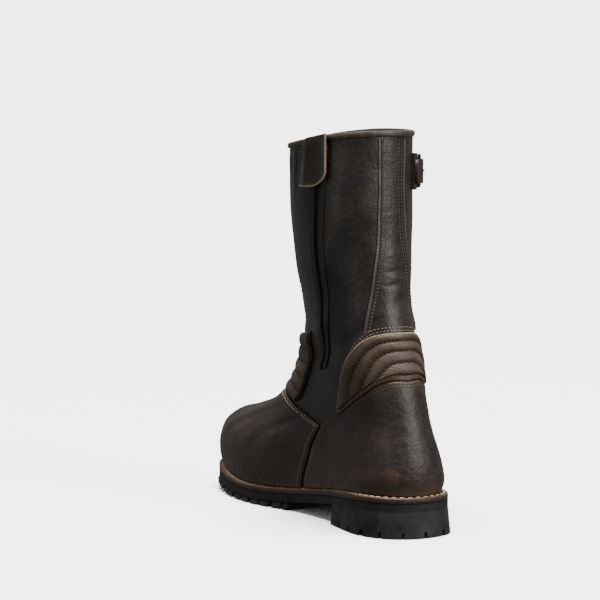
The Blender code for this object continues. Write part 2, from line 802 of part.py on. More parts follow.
def pad_grid(along, rows, above):
    """Hoops and turns of arches nested in the pad's top edge. They end above the counter."""
    half = np.abs(2 * along - 1)
    side = np.sign(2 * along - 1)
    rows = rows[:, None]
    key = np.linspace(0, 1, len(PAD_TOP))
    arch_turn = smooth_through(key, [row.turn for row in PAD_TOP], half)
    arch_height = ANKLE_HEIGHT * smooth_through(key, [row.height for row in PAD_TOP], half)
    core_turn = PAD_CORE_TURN * half
    core_height = edge_heights(COUNTER_TOP, core_turn) + above
    inwards = rows ** (1 + 0.25 * (1 - half ** 2))
    turns = arch_turn + (core_turn - arch_turn) * rows
    heights = arch_height + (core_height - arch_height) * inwards
    at_end = edge_heights(COUNTER_TOP, turns[:, -1:]) + above - heights[:, -1:]
    return hoop_at(turns * side, heights + at_end * half ** 4), turns * side


def make_ankle_pad(leather):
    rows = np.linspace(0, 1, 3 * PAD_RIBS + 1)
    hoops, turns = pad_grid(np.linspace(0, 1, 21), rows, PAD_SPLIT)
    lift = PANEL_GAP + np.broadcast_to(rib_lift(rows, PAD_RIBS)[:, None], hoops.shape).copy()
    lift[:, 0] = lift[:, -1] = PANEL_GAP + PAD_VALLEY * 0.7
    return shell("ankle_pad", on_upper(hoops, turns, lift), on_upper(hoops, turns, PANEL_GAP), leather)


def make_instep_pad(leather):
    """Cross ribs over the instep, above the vamp."""
    turns = np.linspace(105, 255, 13)
    from_back = np.minimum(turns, 360 - turns)
    foot = hoop_at(turns, edge_heights(VAMP_TOP, from_back) + 2.4 * MM)
    top = np.full(turns.shape, 8.7)
    rows = np.linspace(0, 1, 3 * INSTEP_RIBS + 1)[:, None]
    hoops = foot + (top - foot) * rows
    lift = PANEL_GAP + np.broadcast_to(rib_lift(rows, INSTEP_RIBS), hoops.shape).copy()
    lift[:, 0] = lift[:, -1] = PANEL_GAP + PAD_VALLEY * 0.7
    turns = np.broadcast_to(turns, hoops.shape)
    return shell("instep_pad", on_upper(hoops, turns, lift), on_upper(hoops, turns, PANEL_GAP), leather)


def ribbon(name, hoops, turns, width, section, finish, low=GAP):
    """A strip along a path on the upper. section has rows of (share across, height)."""
    centre = on_upper(hoops, turns)
    along = np.gradient(centre, axis=0)
    normal = upper_normal(hoops, turns)
    across = np.cross(normal, along)
    across /= np.linalg.norm(across, axis=-1, keepdims=True)
    reach = np.radians(1.0) * np.linalg.norm(
        np.cross(on_upper(hoops, turns + 0.5) - on_upper(hoops, turns - 0.5), normal), axis=-1
    )
    turn_per_length = np.radians(1.0) / reach
    sections = []
    for i in range(len(centre)):
        points = []
        for share, height in section:
            side = across[i] * width * share
            level = on_upper(hoops[i], turns[i] - share * width * turn_per_length[i], 0)
            flat = centre[i] + side
            drop = np.dot(level - flat, normal[i])
            points.append(flat + normal[i] * (drop + low + height))
        sections.append(points)
    return bar(name, sections, finish)


def make_back_seam(name, column, leather):
    heights = np.linspace(SEAM_ROWS[-1].height, SEAM_ROWS[0].height, 12)
    ordered = SEAM_ROWS[::-1]
    keys = [row.height for row in ordered]
    turns = smooth_through(keys, [getattr(row, column) for row in ordered], heights)
    hoops = hoop_at(turns, heights * BACK_HEIGHT)
    half = [(0.5, 0), (0.5, 0.5 * SEAM_THICK), (0.2, SEAM_THICK)]
    section = half + [(-share, height) for share, height in reversed(half)]
    return ribbon(name, hoops, turns, SEAM_WIDTH, section, leather, low=GAP * 1.3)


def make_collar(leather):
    """The rolled binding on the collar's edge."""
    turns = np.arange(AROUND) * 360 / AROUND
    rim = on_upper(COLLAR_HOOP, turns, -WALL / 2)
    outwards = upper_normal(np.full(AROUND, float(COLLAR_HOOP)), turns)
    outwards[:, 2] = 0
    outwards /= np.linalg.norm(outwards, axis=-1, keepdims=True)
    half_width = WALL / 2 + COLLAR_OUT
    loops = []
    for i in range(6):
        angle = i * math.pi / 3
        side = math.cos(angle) * half_width
        up = (1 + math.sin(angle) / math.sin(math.pi / 3)) * COLLAR_ROLL / 2
        loops.append(rim + outwards * side + np.array([0, 0, GAP + up]))
    return ring("collar_binding", loops, leather)


# The zip, its slider and its flap

def on_shaft(turn, height, lift):
    """A point at a turn and a height, also above the collar."""
    point = on_upper(hoop_at(turn, height), turn, lift)
    point[..., 2] = height
    return point


def zip_path(low, high, count):
    """Hoops and turns along the zip between two heights."""
    heights = np.linspace(low, high, count)
    keys = [row.height * SIDE_HEIGHT for row in ZIP_ROWS]
    turns = smooth_through(keys, [row.turn for row in ZIP_ROWS], heights)
    return hoop_at(turns, heights), turns


def make_zip(cloth):
    """A flat tape with the raised chain down its middle."""
    hoops, turns = zip_path(ZIP_ROWS[0].height * SIDE_HEIGHT, ZIP_ROWS[-1].height * SIDE_HEIGHT, 15)
    chain = ZIP_CHAIN_WIDTH / ZIP_WIDTH / 2
    half = [(chain, 0), (0.5, 0), (0.5, ZIP_TAPE), (chain, ZIP_TAPE), (chain, ZIP_CHAIN)]
    section = half + [(-share, height) for share, height in reversed(half)]
    return ribbon("zip", hoops, turns, ZIP_WIDTH, section, cloth)


def make_slider(metal):
    """The closed slider, at the top of the chain and under the flap."""
    high = ZIP_ROWS[-1].height * SIDE_HEIGHT
    hoops, turns = zip_path(high - SLIDER_LENGTH, high, 4)
    half = [(0.5, 0), (0.5, 0.6 * SLIDER_THICK), (0.34, SLIDER_THICK)]
    section = half + [(-share, height) for share, height in reversed(half)]
    return ribbon("zip_slider", hoops, turns, SLIDER_WIDTH, section, metal, low=2 * GAP + ZIP_CHAIN)


def flap_lift(share, turns, heights):
    """The underside of the flap: sewn down in front, over the collar above and the slider behind."""
    collar = upper_base(COLLAR_HOOP, turns)[..., 2]
    over_collar = ease((heights - collar + 2 * COLLAR_ROLL) / COLLAR_ROLL)
    sewn = PANEL_GAP + (COLLAR_OUT + GAP - PANEL_GAP) * over_collar
    free = 3 * GAP + ZIP_CHAIN + SLIDER_THICK
    return sewn + (free - sewn) * ease(share / 0.36)


def flap_grid(share, up):
    """Turns and heights of the flap from its front edge to its rear one, and its underside."""
    near_rear = np.clip((share - 0.5) / 0.5, 0, 0.98)
    top = SIDE_HEIGHT + FLAP_RISE
    foot = top - FLAP_LENGTH + FLAP_CORNER * (1 - np.sqrt(1 - near_rear ** 2))
    heights = foot + (top - FLAP_DROP * (1 - share) - foot) * up
    front = FLAP_FRONT_TURN + FLAP_SLANT * up
    turns = front + (FLAP_REAR_TURN - front) * share
    return turns, heights, flap_lift(share + np.zeros_like(heights), turns, heights)


def make_flap(leather):
    share = np.linspace(0, 1, 11)[None, :]
    up = np.linspace(0, 1, 7)[:, None]
    turns, heights, low = flap_grid(share, up)
    lift = low + panel_lift(*heights.shape, FLAP_THICK, FLAP_THICK * 0.6)
    return shell("zip_flap", on_shaft(turns, heights, lift), on_shaft(turns, heights, low), leather)


# The strap and its buckle, laid out by distances from the buckle's middle

BAR_REACH = (BUCKLE_LENGTH - BUCKLE_ROD) / 2
BAR_EYE = BUCKLE_ROD / 2 + GAP
HEEL_BAR_LIFT = GAP + CHAPE_LEAF + BAR_EYE
CHAPE_TOP = GAP + 2 * CHAPE_LEAF + CHAPE_SLIT


def turn_length(turn):
    """The length along the collar of one degree of turn."""
    ends = upper_base(COLLAR_HOOP, np.array([turn - 0.5, turn + 0.5]))
    return float(np.linalg.norm(ends[1] - ends[0]))


def at_buckle(along, up, lift):
    turn = BUCKLE_TURN + np.asarray(along) / turn_length(BUCKLE_TURN)
    return on_shaft(turn, (SIDE_HEIGHT - STRAP_DROP) + np.asarray(up), lift)


def across_buckle(name, outline, ups, finish):
    """A piece with the same side view at several heights."""
    along = np.array([point[0] for point in outline])
    lift = np.array([point[1] for point in outline])
    return bar(name, [at_buckle(along, up, lift) for up in ups], finish)


def block_outline(rear, front):
    """The side view of a cutter that reaches through the strap and its anchor."""
    top = STRAP_THICK + BUCKLE_RAKE + 2 * BUCKLE_ROD
    return [(rear, -WALL), (front, -WALL), (front, top), (rear, top)]


def bar_lift(along):
    """The lift of the frame's rod: its heel bar lies low and its outer bar stands off."""
    return HEEL_BAR_LIFT + BUCKLE_RAKE * (along + BAR_REACH) / (2 * BAR_REACH)


def make_buckle_frame(metal):
    """A rounded rectangle of rod."""
    angles = (np.arange(16) + 0.5) * math.pi / 8
    outward = np.column_stack([np.cos(angles), np.sin(angles)])
    reach = np.array([BAR_REACH, (BUCKLE_HEIGHT - BUCKLE_ROD) / 2]) - BUCKLE_CORNER
    path = np.sign(outward) * reach + outward * BUCKLE_CORNER
    loops = []
    for i in range(6):
        side = BUCKLE_ROD / 2 * math.cos(i * math.pi / 3)
        out = BUCKLE_ROD / 2 * math.sin(i * math.pi / 3)
        plan = path + outward * side
        loops.append(at_buckle(plan[:, 0], plan[:, 1], bar_lift(path[:, 0]) + out))
    return ring("buckle_frame", loops, metal)


def make_strap_anchor(leather):
    """A strip folded round the heel bar and sewn to the shaft, with a slot for the prong."""
    behind = [-CHAPE_BACK, -(CHAPE_BACK + BAR_REACH + CHAPE_RISE) / 2, -BAR_REACH - CHAPE_RISE]
    rising = -BAR_REACH - CHAPE_RISE / 2
    half_turn = [math.radians(angle) for angle in (-90, -54, -18, 18, 54, 90)]

    def round_bar(radius):
        return [(-BAR_REACH + radius * math.cos(a), HEEL_BAR_LIFT + radius * math.sin(a)) for a in half_turn]

    outer_eye = BAR_EYE + CHAPE_LEAF
    middle_top = (CHAPE_TOP + HEEL_BAR_LIFT + outer_eye) / 2
    outline = [(along, GAP) for along in behind] + [(rising, GAP)]
    outline += round_bar(outer_eye)
    outline += [(rising, middle_top)] + [(along, CHAPE_TOP) for along in reversed(behind)]
    outline += [(along, CHAPE_TOP - CHAPE_LEAF) for along in behind] + [(rising, middle_top - CHAPE_LEAF)]
    outline += list(reversed(round_bar(BAR_EYE)))
    outline += [(rising, GAP + CHAPE_LEAF)] + [(along, GAP + CHAPE_LEAF) for along in reversed(behind)]
    ups = np.linspace(-1, 1, 4) * CHAPE_HEIGHT / 2
    anchor = across_buckle("strap_anchor", outline, ups, leather)
    shoulder = -BAR_REACH - BAR_EYE
    slot = block_outline(shoulder, 0)
    slot_ups = (-PRONG_SLOT / 2, PRONG_SLOT / 2)
    boolean(anchor, across_buckle("prong_slot", slot, slot_ups, CUTTER), "DIFFERENCE")
    beside = block_outline(shoulder - CHAPE_RISE / 2, 0)
    for name, side in (("low_shoulder", -1), ("high_shoulder", 1)):
        ups = (side * CHAPE_NECK / 2, side * CHAPE_HEIGHT)
        boolean(anchor, across_buckle(name, beside, ups, CUTTER), "DIFFERENCE")
    return anchor


def make_strap(leather):
    """Sewn to the shaft in front, under the outer bar, over the heel bar, and flat to its tip."""
    sewn = (STRAP_SEWN_TURN - BUCKLE_TURN) * turn_length(BUCKLE_TURN)
    under_bar = bar_lift(BAR_REACH) - BAR_EYE - STRAP_THICK
    over_bar = HEEL_BAR_LIFT + BAR_EYE + CHAPE_LEAF + GAP
    passes = (
        (-CHAPE_BACK, CHAPE_TOP + GAP),
        (-BAR_REACH - CHAPE_RISE, CHAPE_TOP + GAP),
        (-BAR_REACH, over_bar),
        (BAR_REACH, under_bar),
        (BAR_REACH + STRAP_RUN_IN, PANEL_GAP),
        (sewn, PANEL_GAP),
    )
    knots = np.array([row[0] for row in passes])
    spans = [np.linspace(a, b, 5)[:-1] for a, b in zip(knots[:-2], knots[1:-1])]
    along = np.concatenate(spans + [np.linspace(knots[-2], sewn, 11)])
    low = np.interp(along, knots, [row[1] for row in passes])
    taper = np.clip((along + CHAPE_BACK) / STRAP_TIP, 0, 1)
    half = STRAP_WIDTH / 2 * (0.4 + 0.6 * np.sqrt(1 - (1 - taper) ** 2))
    ups = np.array([-1, 0, 1])[:, None] * half
    alongs = np.broadcast_to(along, ups.shape)
    outer = at_buckle(alongs, ups, low + STRAP_THICK)
    strap = shell("strap", outer, at_buckle(alongs, ups, low), leather)
    hole = block_outline(-PRONG_HOLE / 2, PRONG_HOLE / 2)
    hole_ups = (-PRONG_SLOT / 2, PRONG_SLOT / 2)
    boolean(strap, across_buckle("prong_hole", hole, hole_ups, CUTTER), "DIFFERENCE")
    return strap


def make_prong(metal):
    """A rod from the heel bar, up through the strap's hole, onto the outer bar."""
    rest = bar_lift(BAR_REACH) + BAR_EYE + PRONG_ROD / 2
    rows = (
        (-BAR_REACH + BAR_EYE, HEEL_BAR_LIFT),
        (-0.36 * BAR_REACH, HEEL_BAR_LIFT + 0.10 * rest),
        (0.10 * BAR_REACH, HEEL_BAR_LIFT + 0.40 * rest),
        (0.58 * BAR_REACH, rest),
        (BAR_REACH, rest),
        (BAR_REACH + PRONG_ROD, rest - 0.2 * PRONG_ROD),
    )
    path = np.array(rows)
    along = np.gradient(path, axis=0)
    along /= np.linalg.norm(along, axis=1, keepdims=True)
    beside = np.column_stack([-along[:, 1], along[:, 0]])
    sections = []
    for point, normal in zip(path, beside):
        angles = np.arange(6) * math.pi / 3
        plan = point + normal * (PRONG_ROD / 2 * np.sin(angles))[:, None]
        sections.append(at_buckle(plan[:, 0], PRONG_ROD / 2 * np.cos(angles), plan[:, 1]))
    return bar("buckle_prong", sections, metal)


CUTTER = material("cutter", (0.5, 0.5, 0.5), 0.5)


def main():
    clear_scene()
    rubber = material("rubber", (0.035, 0.036, 0.039), 0.62)
    heel_rubber = material("heel_rubber", (0.040, 0.041, 0.044), 0.64)
    welt_leather = material("welt_leather", (0.13, 0.085, 0.05), 0.7)
    upper_leather = material("upper_leather", (0.055, 0.042, 0.034), 0.5)
    counter_leather = material("counter_leather", (0.065, 0.05, 0.04), 0.48)
    vamp_leather = material("vamp_leather", (0.06, 0.045, 0.035), 0.5)
    pad_leather = material("pad_leather", (0.12, 0.085, 0.055), 0.55)
    instep_leather = material("instep_leather", (0.11, 0.078, 0.05), 0.55)
    binding_leather = material("binding_leather", (0.13, 0.09, 0.06), 0.55)
    medial_seam_leather = material("medial_seam_leather", (0.12, 0.09, 0.065), 0.5)
    lateral_seam_leather = material("lateral_seam_leather", (0.12, 0.09, 0.065), 0.5)
    insole_leather = material("insole_leather", (0.25, 0.19, 0.13), 0.7)
    make_outsole(rubber)
    make_heel(heel_rubber)
    make_welt(welt_leather)
    make_insole(insole_leather)
    make_upper(upper_leather)
    make_counter(counter_leather)
    make_vamp(vamp_leather)
    make_ankle_pad(pad_leather)
    make_instep_pad(instep_leather)
    make_back_seam("medial_back_seam", "medial", medial_seam_leather)
    make_back_seam("lateral_back_seam", "lateral", lateral_seam_leather)
    make_collar(binding_leather)
    make_zip(material("zip_cloth", (0.03, 0.028, 0.027), 0.8))
    make_slider(material("slider_metal", (0.16, 0.15, 0.14), 0.35, 1.0))
    make_flap(material("flap_leather", (0.10, 0.078, 0.06), 0.5))
    make_strap_anchor(material("anchor_leather", (0.085, 0.062, 0.045), 0.5))
    make_strap(material("strap_leather", (0.09, 0.063, 0.045), 0.5))
    make_buckle_frame(material("frame_metal", (0.12, 0.115, 0.11), 0.35, 1.0))
    make_prong(material("prong_metal", (0.13, 0.125, 0.12), 0.35, 1.0))


main()
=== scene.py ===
"""The boot's looks: creased leather, quilting, stitching, welt, rubber, zip and buckle.

The frame, sizes and surface functions are those of the part: toe +Y, outer side +X.
"""
import math
from collections import namedtuple

import bmesh
import bpy
import numpy as np
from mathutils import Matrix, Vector


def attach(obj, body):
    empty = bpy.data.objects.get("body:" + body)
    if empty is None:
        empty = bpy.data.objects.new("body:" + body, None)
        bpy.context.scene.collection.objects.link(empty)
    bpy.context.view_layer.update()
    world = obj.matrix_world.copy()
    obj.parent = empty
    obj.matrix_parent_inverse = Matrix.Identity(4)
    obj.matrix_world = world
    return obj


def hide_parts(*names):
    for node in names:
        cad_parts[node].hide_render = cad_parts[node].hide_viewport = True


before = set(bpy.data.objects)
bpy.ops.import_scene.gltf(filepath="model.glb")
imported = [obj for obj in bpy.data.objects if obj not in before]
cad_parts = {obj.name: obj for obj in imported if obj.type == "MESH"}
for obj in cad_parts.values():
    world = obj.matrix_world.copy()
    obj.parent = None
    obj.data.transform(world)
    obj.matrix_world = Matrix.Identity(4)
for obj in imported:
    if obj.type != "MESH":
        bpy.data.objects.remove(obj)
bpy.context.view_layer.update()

MM = 0.001

# The foot and the shaft
LENGTH = 305 * MM
HEEL_BACK = 42 * MM
HEEL_WIDTH = 77 * MM
WAIST_WIDTH = 76 * MM
BALL_WIDTH = 108.5 * MM
HEEL_SEAT = 30.5 * MM
FOREFOOT_SEAT = 14.8 * MM
TOE_SPRING = 9 * MM
INSTEP_HEIGHT = 148 * MM
ANKLE_HEIGHT = 163 * MM
BACK_HEIGHT = 298 * MM
FRONT_HEIGHT = 292 * MM
SIDE_HEIGHT = (BACK_HEIGHT + FRONT_HEIGHT) / 2
COLLAR_TWIST = 8 * MM
SHAFT_WIDTH = 86 * MM
ANKLE_WIDTH = 67 * MM
SHAFT_LEAN = 8 * MM

# Leather, welt and clearances
WALL = 2.4 * MM
PANEL = 1.6 * MM
GAP = 0.35 * MM
PANEL_GAP = 0.65 * MM
WELT_THICK = 4.4 * MM
WELT_INSET = 2.4 * MM
UPPER_INSET = 8.4 * MM
INSOLE_THICK = 7 * MM
INSOLE_CLEAR = 2.4 * MM
COLLAR_ROLL = 5 * MM
COLLAR_OUT = 1.5 * MM

# Rubber
SHEET_THICK = 6 * MM
SIDE_FLARE = 2 * MM
LUG_LENGTH = 31 * MM
TOE_LUG_LENGTH = 38 * MM
TOE_FOCUS = 0.80
LUG_PITCH = 13.4 * MM
TOE_LUG_PITCH = 18.5 * MM
TOE_LUGS_START = 0.90
LUG_SINK = 1 * MM
SLOT = 2.1 * MM
WIDE_SLOT = 3.8 * MM
DIAMOND = 6.2 * MM
TREAD_END_MEDIAL = 0.505
TREAD_END_LATERAL = 0.48
STUD_SIZE = 15 * MM
BREAST = 38 * MM
BREAST_BOW = 7 * MM
HEEL_LUG_LENGTH = 27 * MM
HEEL_LUG_PITCH = 18 * MM
HEEL_LUG_DEPTH = 4.6 * MM
HEEL_FOCUS = 12 * MM
HEEL_MOAT = 1.6 * MM
HEEL_OVAL_WIDTH = 22 * MM
HEEL_OVAL_LENGTH = 30 * MM

# Quilted pads, seams, zip, strap and buckle
PAD_THICK = 3.6 * MM
PAD_VALLEY = 1.5 * MM
PAD_SPLIT = 1.3 * MM
PAD_RIBS = 4
PAD_CORE_TURN = 19.8
INSTEP_RIBS = 5
SEAM_WIDTH = 4 * MM
SEAM_THICK = 1.1 * MM
ZIP_WIDTH = 15 * MM
ZIP_TAPE = 0.8 * MM
ZIP_CHAIN_WIDTH = 5 * MM
ZIP_CHAIN = 1.7 * MM
SLIDER_LENGTH = 11 * MM
SLIDER_WIDTH = 8 * MM
SLIDER_THICK = 1.6 * MM
FLAP_THICK = 1.8 * MM
FLAP_RISE = 5.5 * MM
FLAP_DROP = 4.5 * MM
FLAP_LENGTH = 40 * MM
FLAP_CORNER = 13 * MM
STRAP_WIDTH = 18.5 * MM
STRAP_THICK = 2 * MM
STRAP_DROP = 23.5 * MM
STRAP_RUN_IN = 14 * MM
STRAP_TIP = 7 * MM
CHAPE_LEAF = 1.1 * MM
CHAPE_SLIT = 0.25 * MM
CHAPE_BACK = 21 * MM
CHAPE_RISE = 8 * MM
CHAPE_HEIGHT = 28 * MM
CHAPE_NECK = 17 * MM
BUCKLE_HEIGHT = 26 * MM
BUCKLE_LENGTH = 19 * MM
BUCKLE_CORNER = 4 * MM
BUCKLE_ROD = 2.6 * MM
BUCKLE_RAKE = 4.2 * MM
BUCKLE_TURN = 58
STRAP_SEWN_TURN = 150
PRONG_ROD = 1.8 * MM
PRONG_SLOT = 3.6 * MM
PRONG_HOLE = 8 * MM

SOLE_STATIONS = 168

SoleRow = namedtuple("SoleRow", "share width lateral")
SOLE_ROWS = (
    SoleRow(0.000, 0.000 * HEEL_WIDTH, 0.500),
    SoleRow(0.020, 0.575 * HEEL_WIDTH, 0.530),
    SoleRow(0.060, 0.845 * HEEL_WIDTH, 0.512),
    SoleRow(0.130, 0.995 * HEEL_WIDTH, 0.503),
    SoleRow(0.220, 0.990 * HEEL_WIDTH, 0.528),
    SoleRow(0.330, 1.000 * WAIST_WIDTH, 0.583),
    SoleRow(0.430, 1.120 * WAIST_WIDTH, 0.620),
    SoleRow(0.520, 0.880 * BALL_WIDTH, 0.612),
    SoleRow(0.620, 0.988 * BALL_WIDTH, 0.580),
    SoleRow(0.690, 0.992 * BALL_WIDTH, 0.563),
    SoleRow(0.770, 0.940 * BALL_WIDTH, 0.552),
    SoleRow(0.850, 0.820 * BALL_WIDTH, 0.543),
    SoleRow(0.920, 0.655 * BALL_WIDTH, 0.528),
    SoleRow(0.970, 0.440 * BALL_WIDTH, 0.505),
    SoleRow(1.000, 0.000 * BALL_WIDTH, 0.500),
)

# How much of the heel's rise is left at each share of the length
SeatRow = namedtuple("SeatRow", "share rise")
SEAT_ROWS = (
    SeatRow(0.00, 1.00),
    SeatRow(0.14, 0.94),
    SeatRow(0.30, 0.66),
    SeatRow(0.45, 0.28),
    SeatRow(0.58, 0.05),
    SeatRow(0.66, 0.00),
    SeatRow(1.00, 0.00),
)
SPRING_START = 0.66
SPRING_CURVE = 1.8

# back and front are shares of the length from the back of the sole. Heights run from 0 at
# the seat to 1 at the ankle or instep and 2 at the collar. widest is where along the hoop
# it is widest, round how far it has turned from the sole's outline into an oval, level how
# far it has turned from the sole's curve into a plane, and lean and ridge where its back
# and front stand to the inner side, as shares of the shaft's lean.
FEATHER = UPPER_INSET / LENGTH
HEEL_FEATHER = HEEL_WIDTH / 2 - UPPER_INSET
BALL_FEATHER = BALL_WIDTH / 2 - UPPER_INSET
Hoop = namedtuple("Hoop", "back back_up front front_up heel fore widest round level lean ridge")
HOOPS = (
    Hoop(FEATHER, 0.000, 1 - FEATHER, 0.000, HEEL_FEATHER, BALL_FEATHER, 0.14, 0.00, 0.00, 0.00, 0.00),
    Hoop(0.0180, 0.072, 0.9840, 0.095, 0.415 * HEEL_WIDTH, 0.442 * BALL_WIDTH, 0.14, 0.00, 0.00, 0.00, 0.00),
    Hoop(0.0187, 0.163, 0.9850, 0.190, 0.396 * HEEL_WIDTH, 0.433 * BALL_WIDTH, 0.14, 0.04, 0.15, 0.06, 0.10),
    Hoop(0.0279, 0.268, 0.9640, 0.285, 0.361 * HEEL_WIDTH, 0.396 * BALL_WIDTH, 0.14, 0.15, 0.40, 0.15, 0.20),
    Hoop(0.0426, 0.389, 0.9050, 0.368, 0.332 * HEEL_WIDTH, 0.332 * BALL_WIDTH, 0.15, 0.50, 0.70, 0.25, 0.30),
    Hoop(0.0557, 0.509, 0.8070, 0.432, 0.338 * HEEL_WIDTH, 0.286 * BALL_WIDTH, 0.17, 0.85, 1.00, 0.32, 0.38),
    Hoop(0.0700, 0.630, 0.6980, 0.517, 0.410 * ANKLE_WIDTH, 0.272 * BALL_WIDTH, 0.20, 1.00, 1.00, 0.40, 0.45),
    Hoop(0.0845, 0.750, 0.6030, 0.648, 0.448 * ANKLE_WIDTH, 0.272 * BALL_WIDTH, 0.26, 1.00, 1.00, 0.50, 0.52),
    Hoop(0.0985, 0.872, 0.5380, 0.822, 0.466 * ANKLE_WIDTH, 0.272 * BALL_WIDTH, 0.34, 1.00, 1.00, 0.62, 0.60),
    Hoop(0.1110, 1.000, 0.5060, 1.000, 0.500 * ANKLE_WIDTH, 0.272 * BALL_WIDTH, 0.42, 1.00, 1.00, 0.70, 0.68),
    Hoop(0.1215, 1.126, 0.5000, 1.160, 0.522 * ANKLE_WIDTH, 0.272 * BALL_WIDTH, 0.47, 1.00, 1.00, 0.76, 0.76),
    Hoop(0.1270, 1.311, 0.5060, 1.370, 0.460 * SHAFT_WIDTH, 0.272 * BALL_WIDTH, 0.50, 1.00, 1.00, 0.86, 0.86),
    Hoop(0.1310, 1.607, 0.5140, 1.655, 0.496 * SHAFT_WIDTH, 0.272 * BALL_WIDTH, 0.50, 1.00, 1.00, 1.00, 1.00),
    Hoop(0.1310, 2.000, 0.5170, 2.000, 0.500 * SHAFT_WIDTH, 0.272 * BALL_WIDTH, 0.50, 1.00, 1.00, 1.00, 1.00),
)
COLLAR_HOOP = len(HOOPS) - 1
TWIST_START = 10

# Edges of the panels: turn from the back seam in degrees, height in shares of ANKLE_HEIGHT
COUNTER_CORNER = 75.5
PANEL_SPLIT = 1.5
PANEL_FOOT = 0.1
Edge = namedtuple("Edge", "turn height")
COUNTER_TOP = (
    Edge(0.0, 0.707),
    Edge(16.0, 0.708),
    Edge(27.0, 0.688),
    Edge(38.0, 0.646),
    Edge(49.0, 0.596),
    Edge(61.0, 0.530),
    Edge(71.0, 0.475),
    Edge(COUNTER_CORNER, 0.446),
)
PAD_TOP = (
    Edge(0.0, 0.923),
    Edge(20.0, 0.918),
    Edge(36.0, 0.892),
    Edge(48.5, 0.833),
    Edge(57.0, 0.750),
    Edge(61.5, 0.670),
    Edge(63.0, 0.600),
    Edge(63.0, 0.536),
)
VAMP_TOP = (
    Edge(COUNTER_CORNER, 0.434),
    Edge(84.0, 0.463),
    Edge(92.0, 0.488),
    Edge(105.0, 0.518),
    Edge(120.0, 0.540),
    Edge(140.0, 0.556),
    Edge(180.0, 0.565),
)

# The counter's front edge: turn at shares of the way up from the welt
FrontRow = namedtuple("FrontRow", "up turn")
COUNTER_FRONT = (
    FrontRow(0.00, 83.5),
    FrontRow(0.25, 82.5),
    FrontRow(0.50, 80.0),
    FrontRow(0.75, 78.3),
    FrontRow(1.00, COUNTER_CORNER),
)

# The two seams of the back panel, at heights in shares of BACK_HEIGHT
SeamRow = namedtuple("SeamRow", "height medial lateral")
SEAM_ROWS = (
    SeamRow(0.994, -11.0, 19.0),
    SeamRow(0.820, -11.2, 19.5),
    SeamRow(0.716, -14.8, 23.5),
    SeamRow(0.663, -19.2, 28.0),
    SeamRow(0.611, -24.5, 33.0),
    SeamRow(0.547, -32.2, 39.5),
    SeamRow(0.506, -36.6, 43.0),
)

# The zip on the inner side, at heights in shares of SIDE_HEIGHT
ZipRow = namedtuple("ZipRow", "height turn")
ZIP_ROWS = (
    ZipRow(0.404, -86.0),
    ZipRow(0.525, -82.5),
    ZipRow(0.687, -76.5),
    ZipRow(0.848, -70.5),
    ZipRow(0.986, -66.5),
)
FLAP_REAR_TURN = -58.0
FLAP_FRONT_TURN = -90.0
FLAP_SLANT = 6.5


def smooth_through(keys, values, at):
    """A cubic curve through the rows of a table."""
    keys = np.asarray(keys, float)
    values = np.asarray(values, float)
    at = np.clip(np.asarray(at, float), keys[0], keys[-1])
    slopes = np.gradient(values, keys)
    low = np.clip(np.searchsorted(keys, at) - 1, 0, len(keys) - 2)
    span = keys[low + 1] - keys[low]
    t = (at - keys[low]) / span
    start = values[low] * (1 + 2 * t) * (1 - t) ** 2 + span * slopes[low] * t * (1 - t) ** 2
    end = values[low + 1] * t * t * (3 - 2 * t) + span * slopes[low + 1] * t * t * (t - 1)
    return start + end


def ease(t):
    t = np.clip(t, 0, 1)
    return t * t * (3 - 2 * t)


def place(share):
    """The Y of a share of the length."""
    return share * LENGTH - HEEL_BACK


def share_of(y):
    return np.clip((y + HEEL_BACK) / LENGTH, 0, 1)


# The sole's plan and its side view

SOLE_ANGLES = np.arccos(1 - 2 * np.array([row.share for row in SOLE_ROWS]))


def sole_sides(share):
    """The widths of the outsole to the outer and the inner side."""
    angle = np.arccos(1 - 2 * np.clip(share, 0, 1))
    width = smooth_through(SOLE_ANGLES, [row.width for row in SOLE_ROWS], angle)
    lateral = smooth_through(SOLE_ANGLES, [row.lateral for row in SOLE_ROWS], angle)
    return width * lateral, width * (1 - lateral)


def plan_point(angle):
    """A point of the outsole's outline. 0 is the back, pi the toe, and beyond it the inner side."""
    share = (1 - np.cos(angle)) / 2
    lateral, medial = sole_sides(share)
    x = np.where(np.sin(angle) >= 0, lateral, -medial)
    return np.stack([x, place(share)], -1)


def plan_loop(angles, inset=0.0):
    """Points of the outline, moved inwards by a distance."""
    angles = np.asarray(angles, float)
    step = 0.004
    along = plan_point(angles + step) - plan_point(angles - step)
    along /= np.linalg.norm(along, axis=-1, keepdims=True)
    inwards = np.stack([-along[..., 1], along[..., 0]], -1)
    return plan_point(angles) + inwards * inset


def seat(y):
    """The height of the welt's top."""
    share = share_of(y)
    rise = smooth_through([row.share for row in SEAT_ROWS], [row.rise for row in SEAT_ROWS], share)
    return FOREFOOT_SEAT + (HEEL_SEAT - FOREFOOT_SEAT) * rise + tread(y)


def tread(y):
    """The height of the tread's lowest faces: the floor, then the toe spring."""
    t = np.clip((share_of(y) - SPRING_START) / (1 - SPRING_START), 0, 1)
    return TOE_SPRING * t ** SPRING_CURVE


def welt_under(y):
    return seat(y) - WELT_THICK


def sheet_top(y):
    return welt_under(y) - GAP


def sheet_under(y):
    return sheet_top(y) - SHEET_THICK


# The surface of the upper

HOOP_KEYS = np.arange(len(HOOPS))


def hoop_value(column, hoop):
    return smooth_through(HOOP_KEYS, [getattr(row, column) for row in HOOPS], hoop)


def split_height(up, low, middle, high):
    """0 is low, 1 the middle and 2 high."""
    return np.where(up < 1, low + (middle - low) * up, middle + (high - middle) * (up - 1))


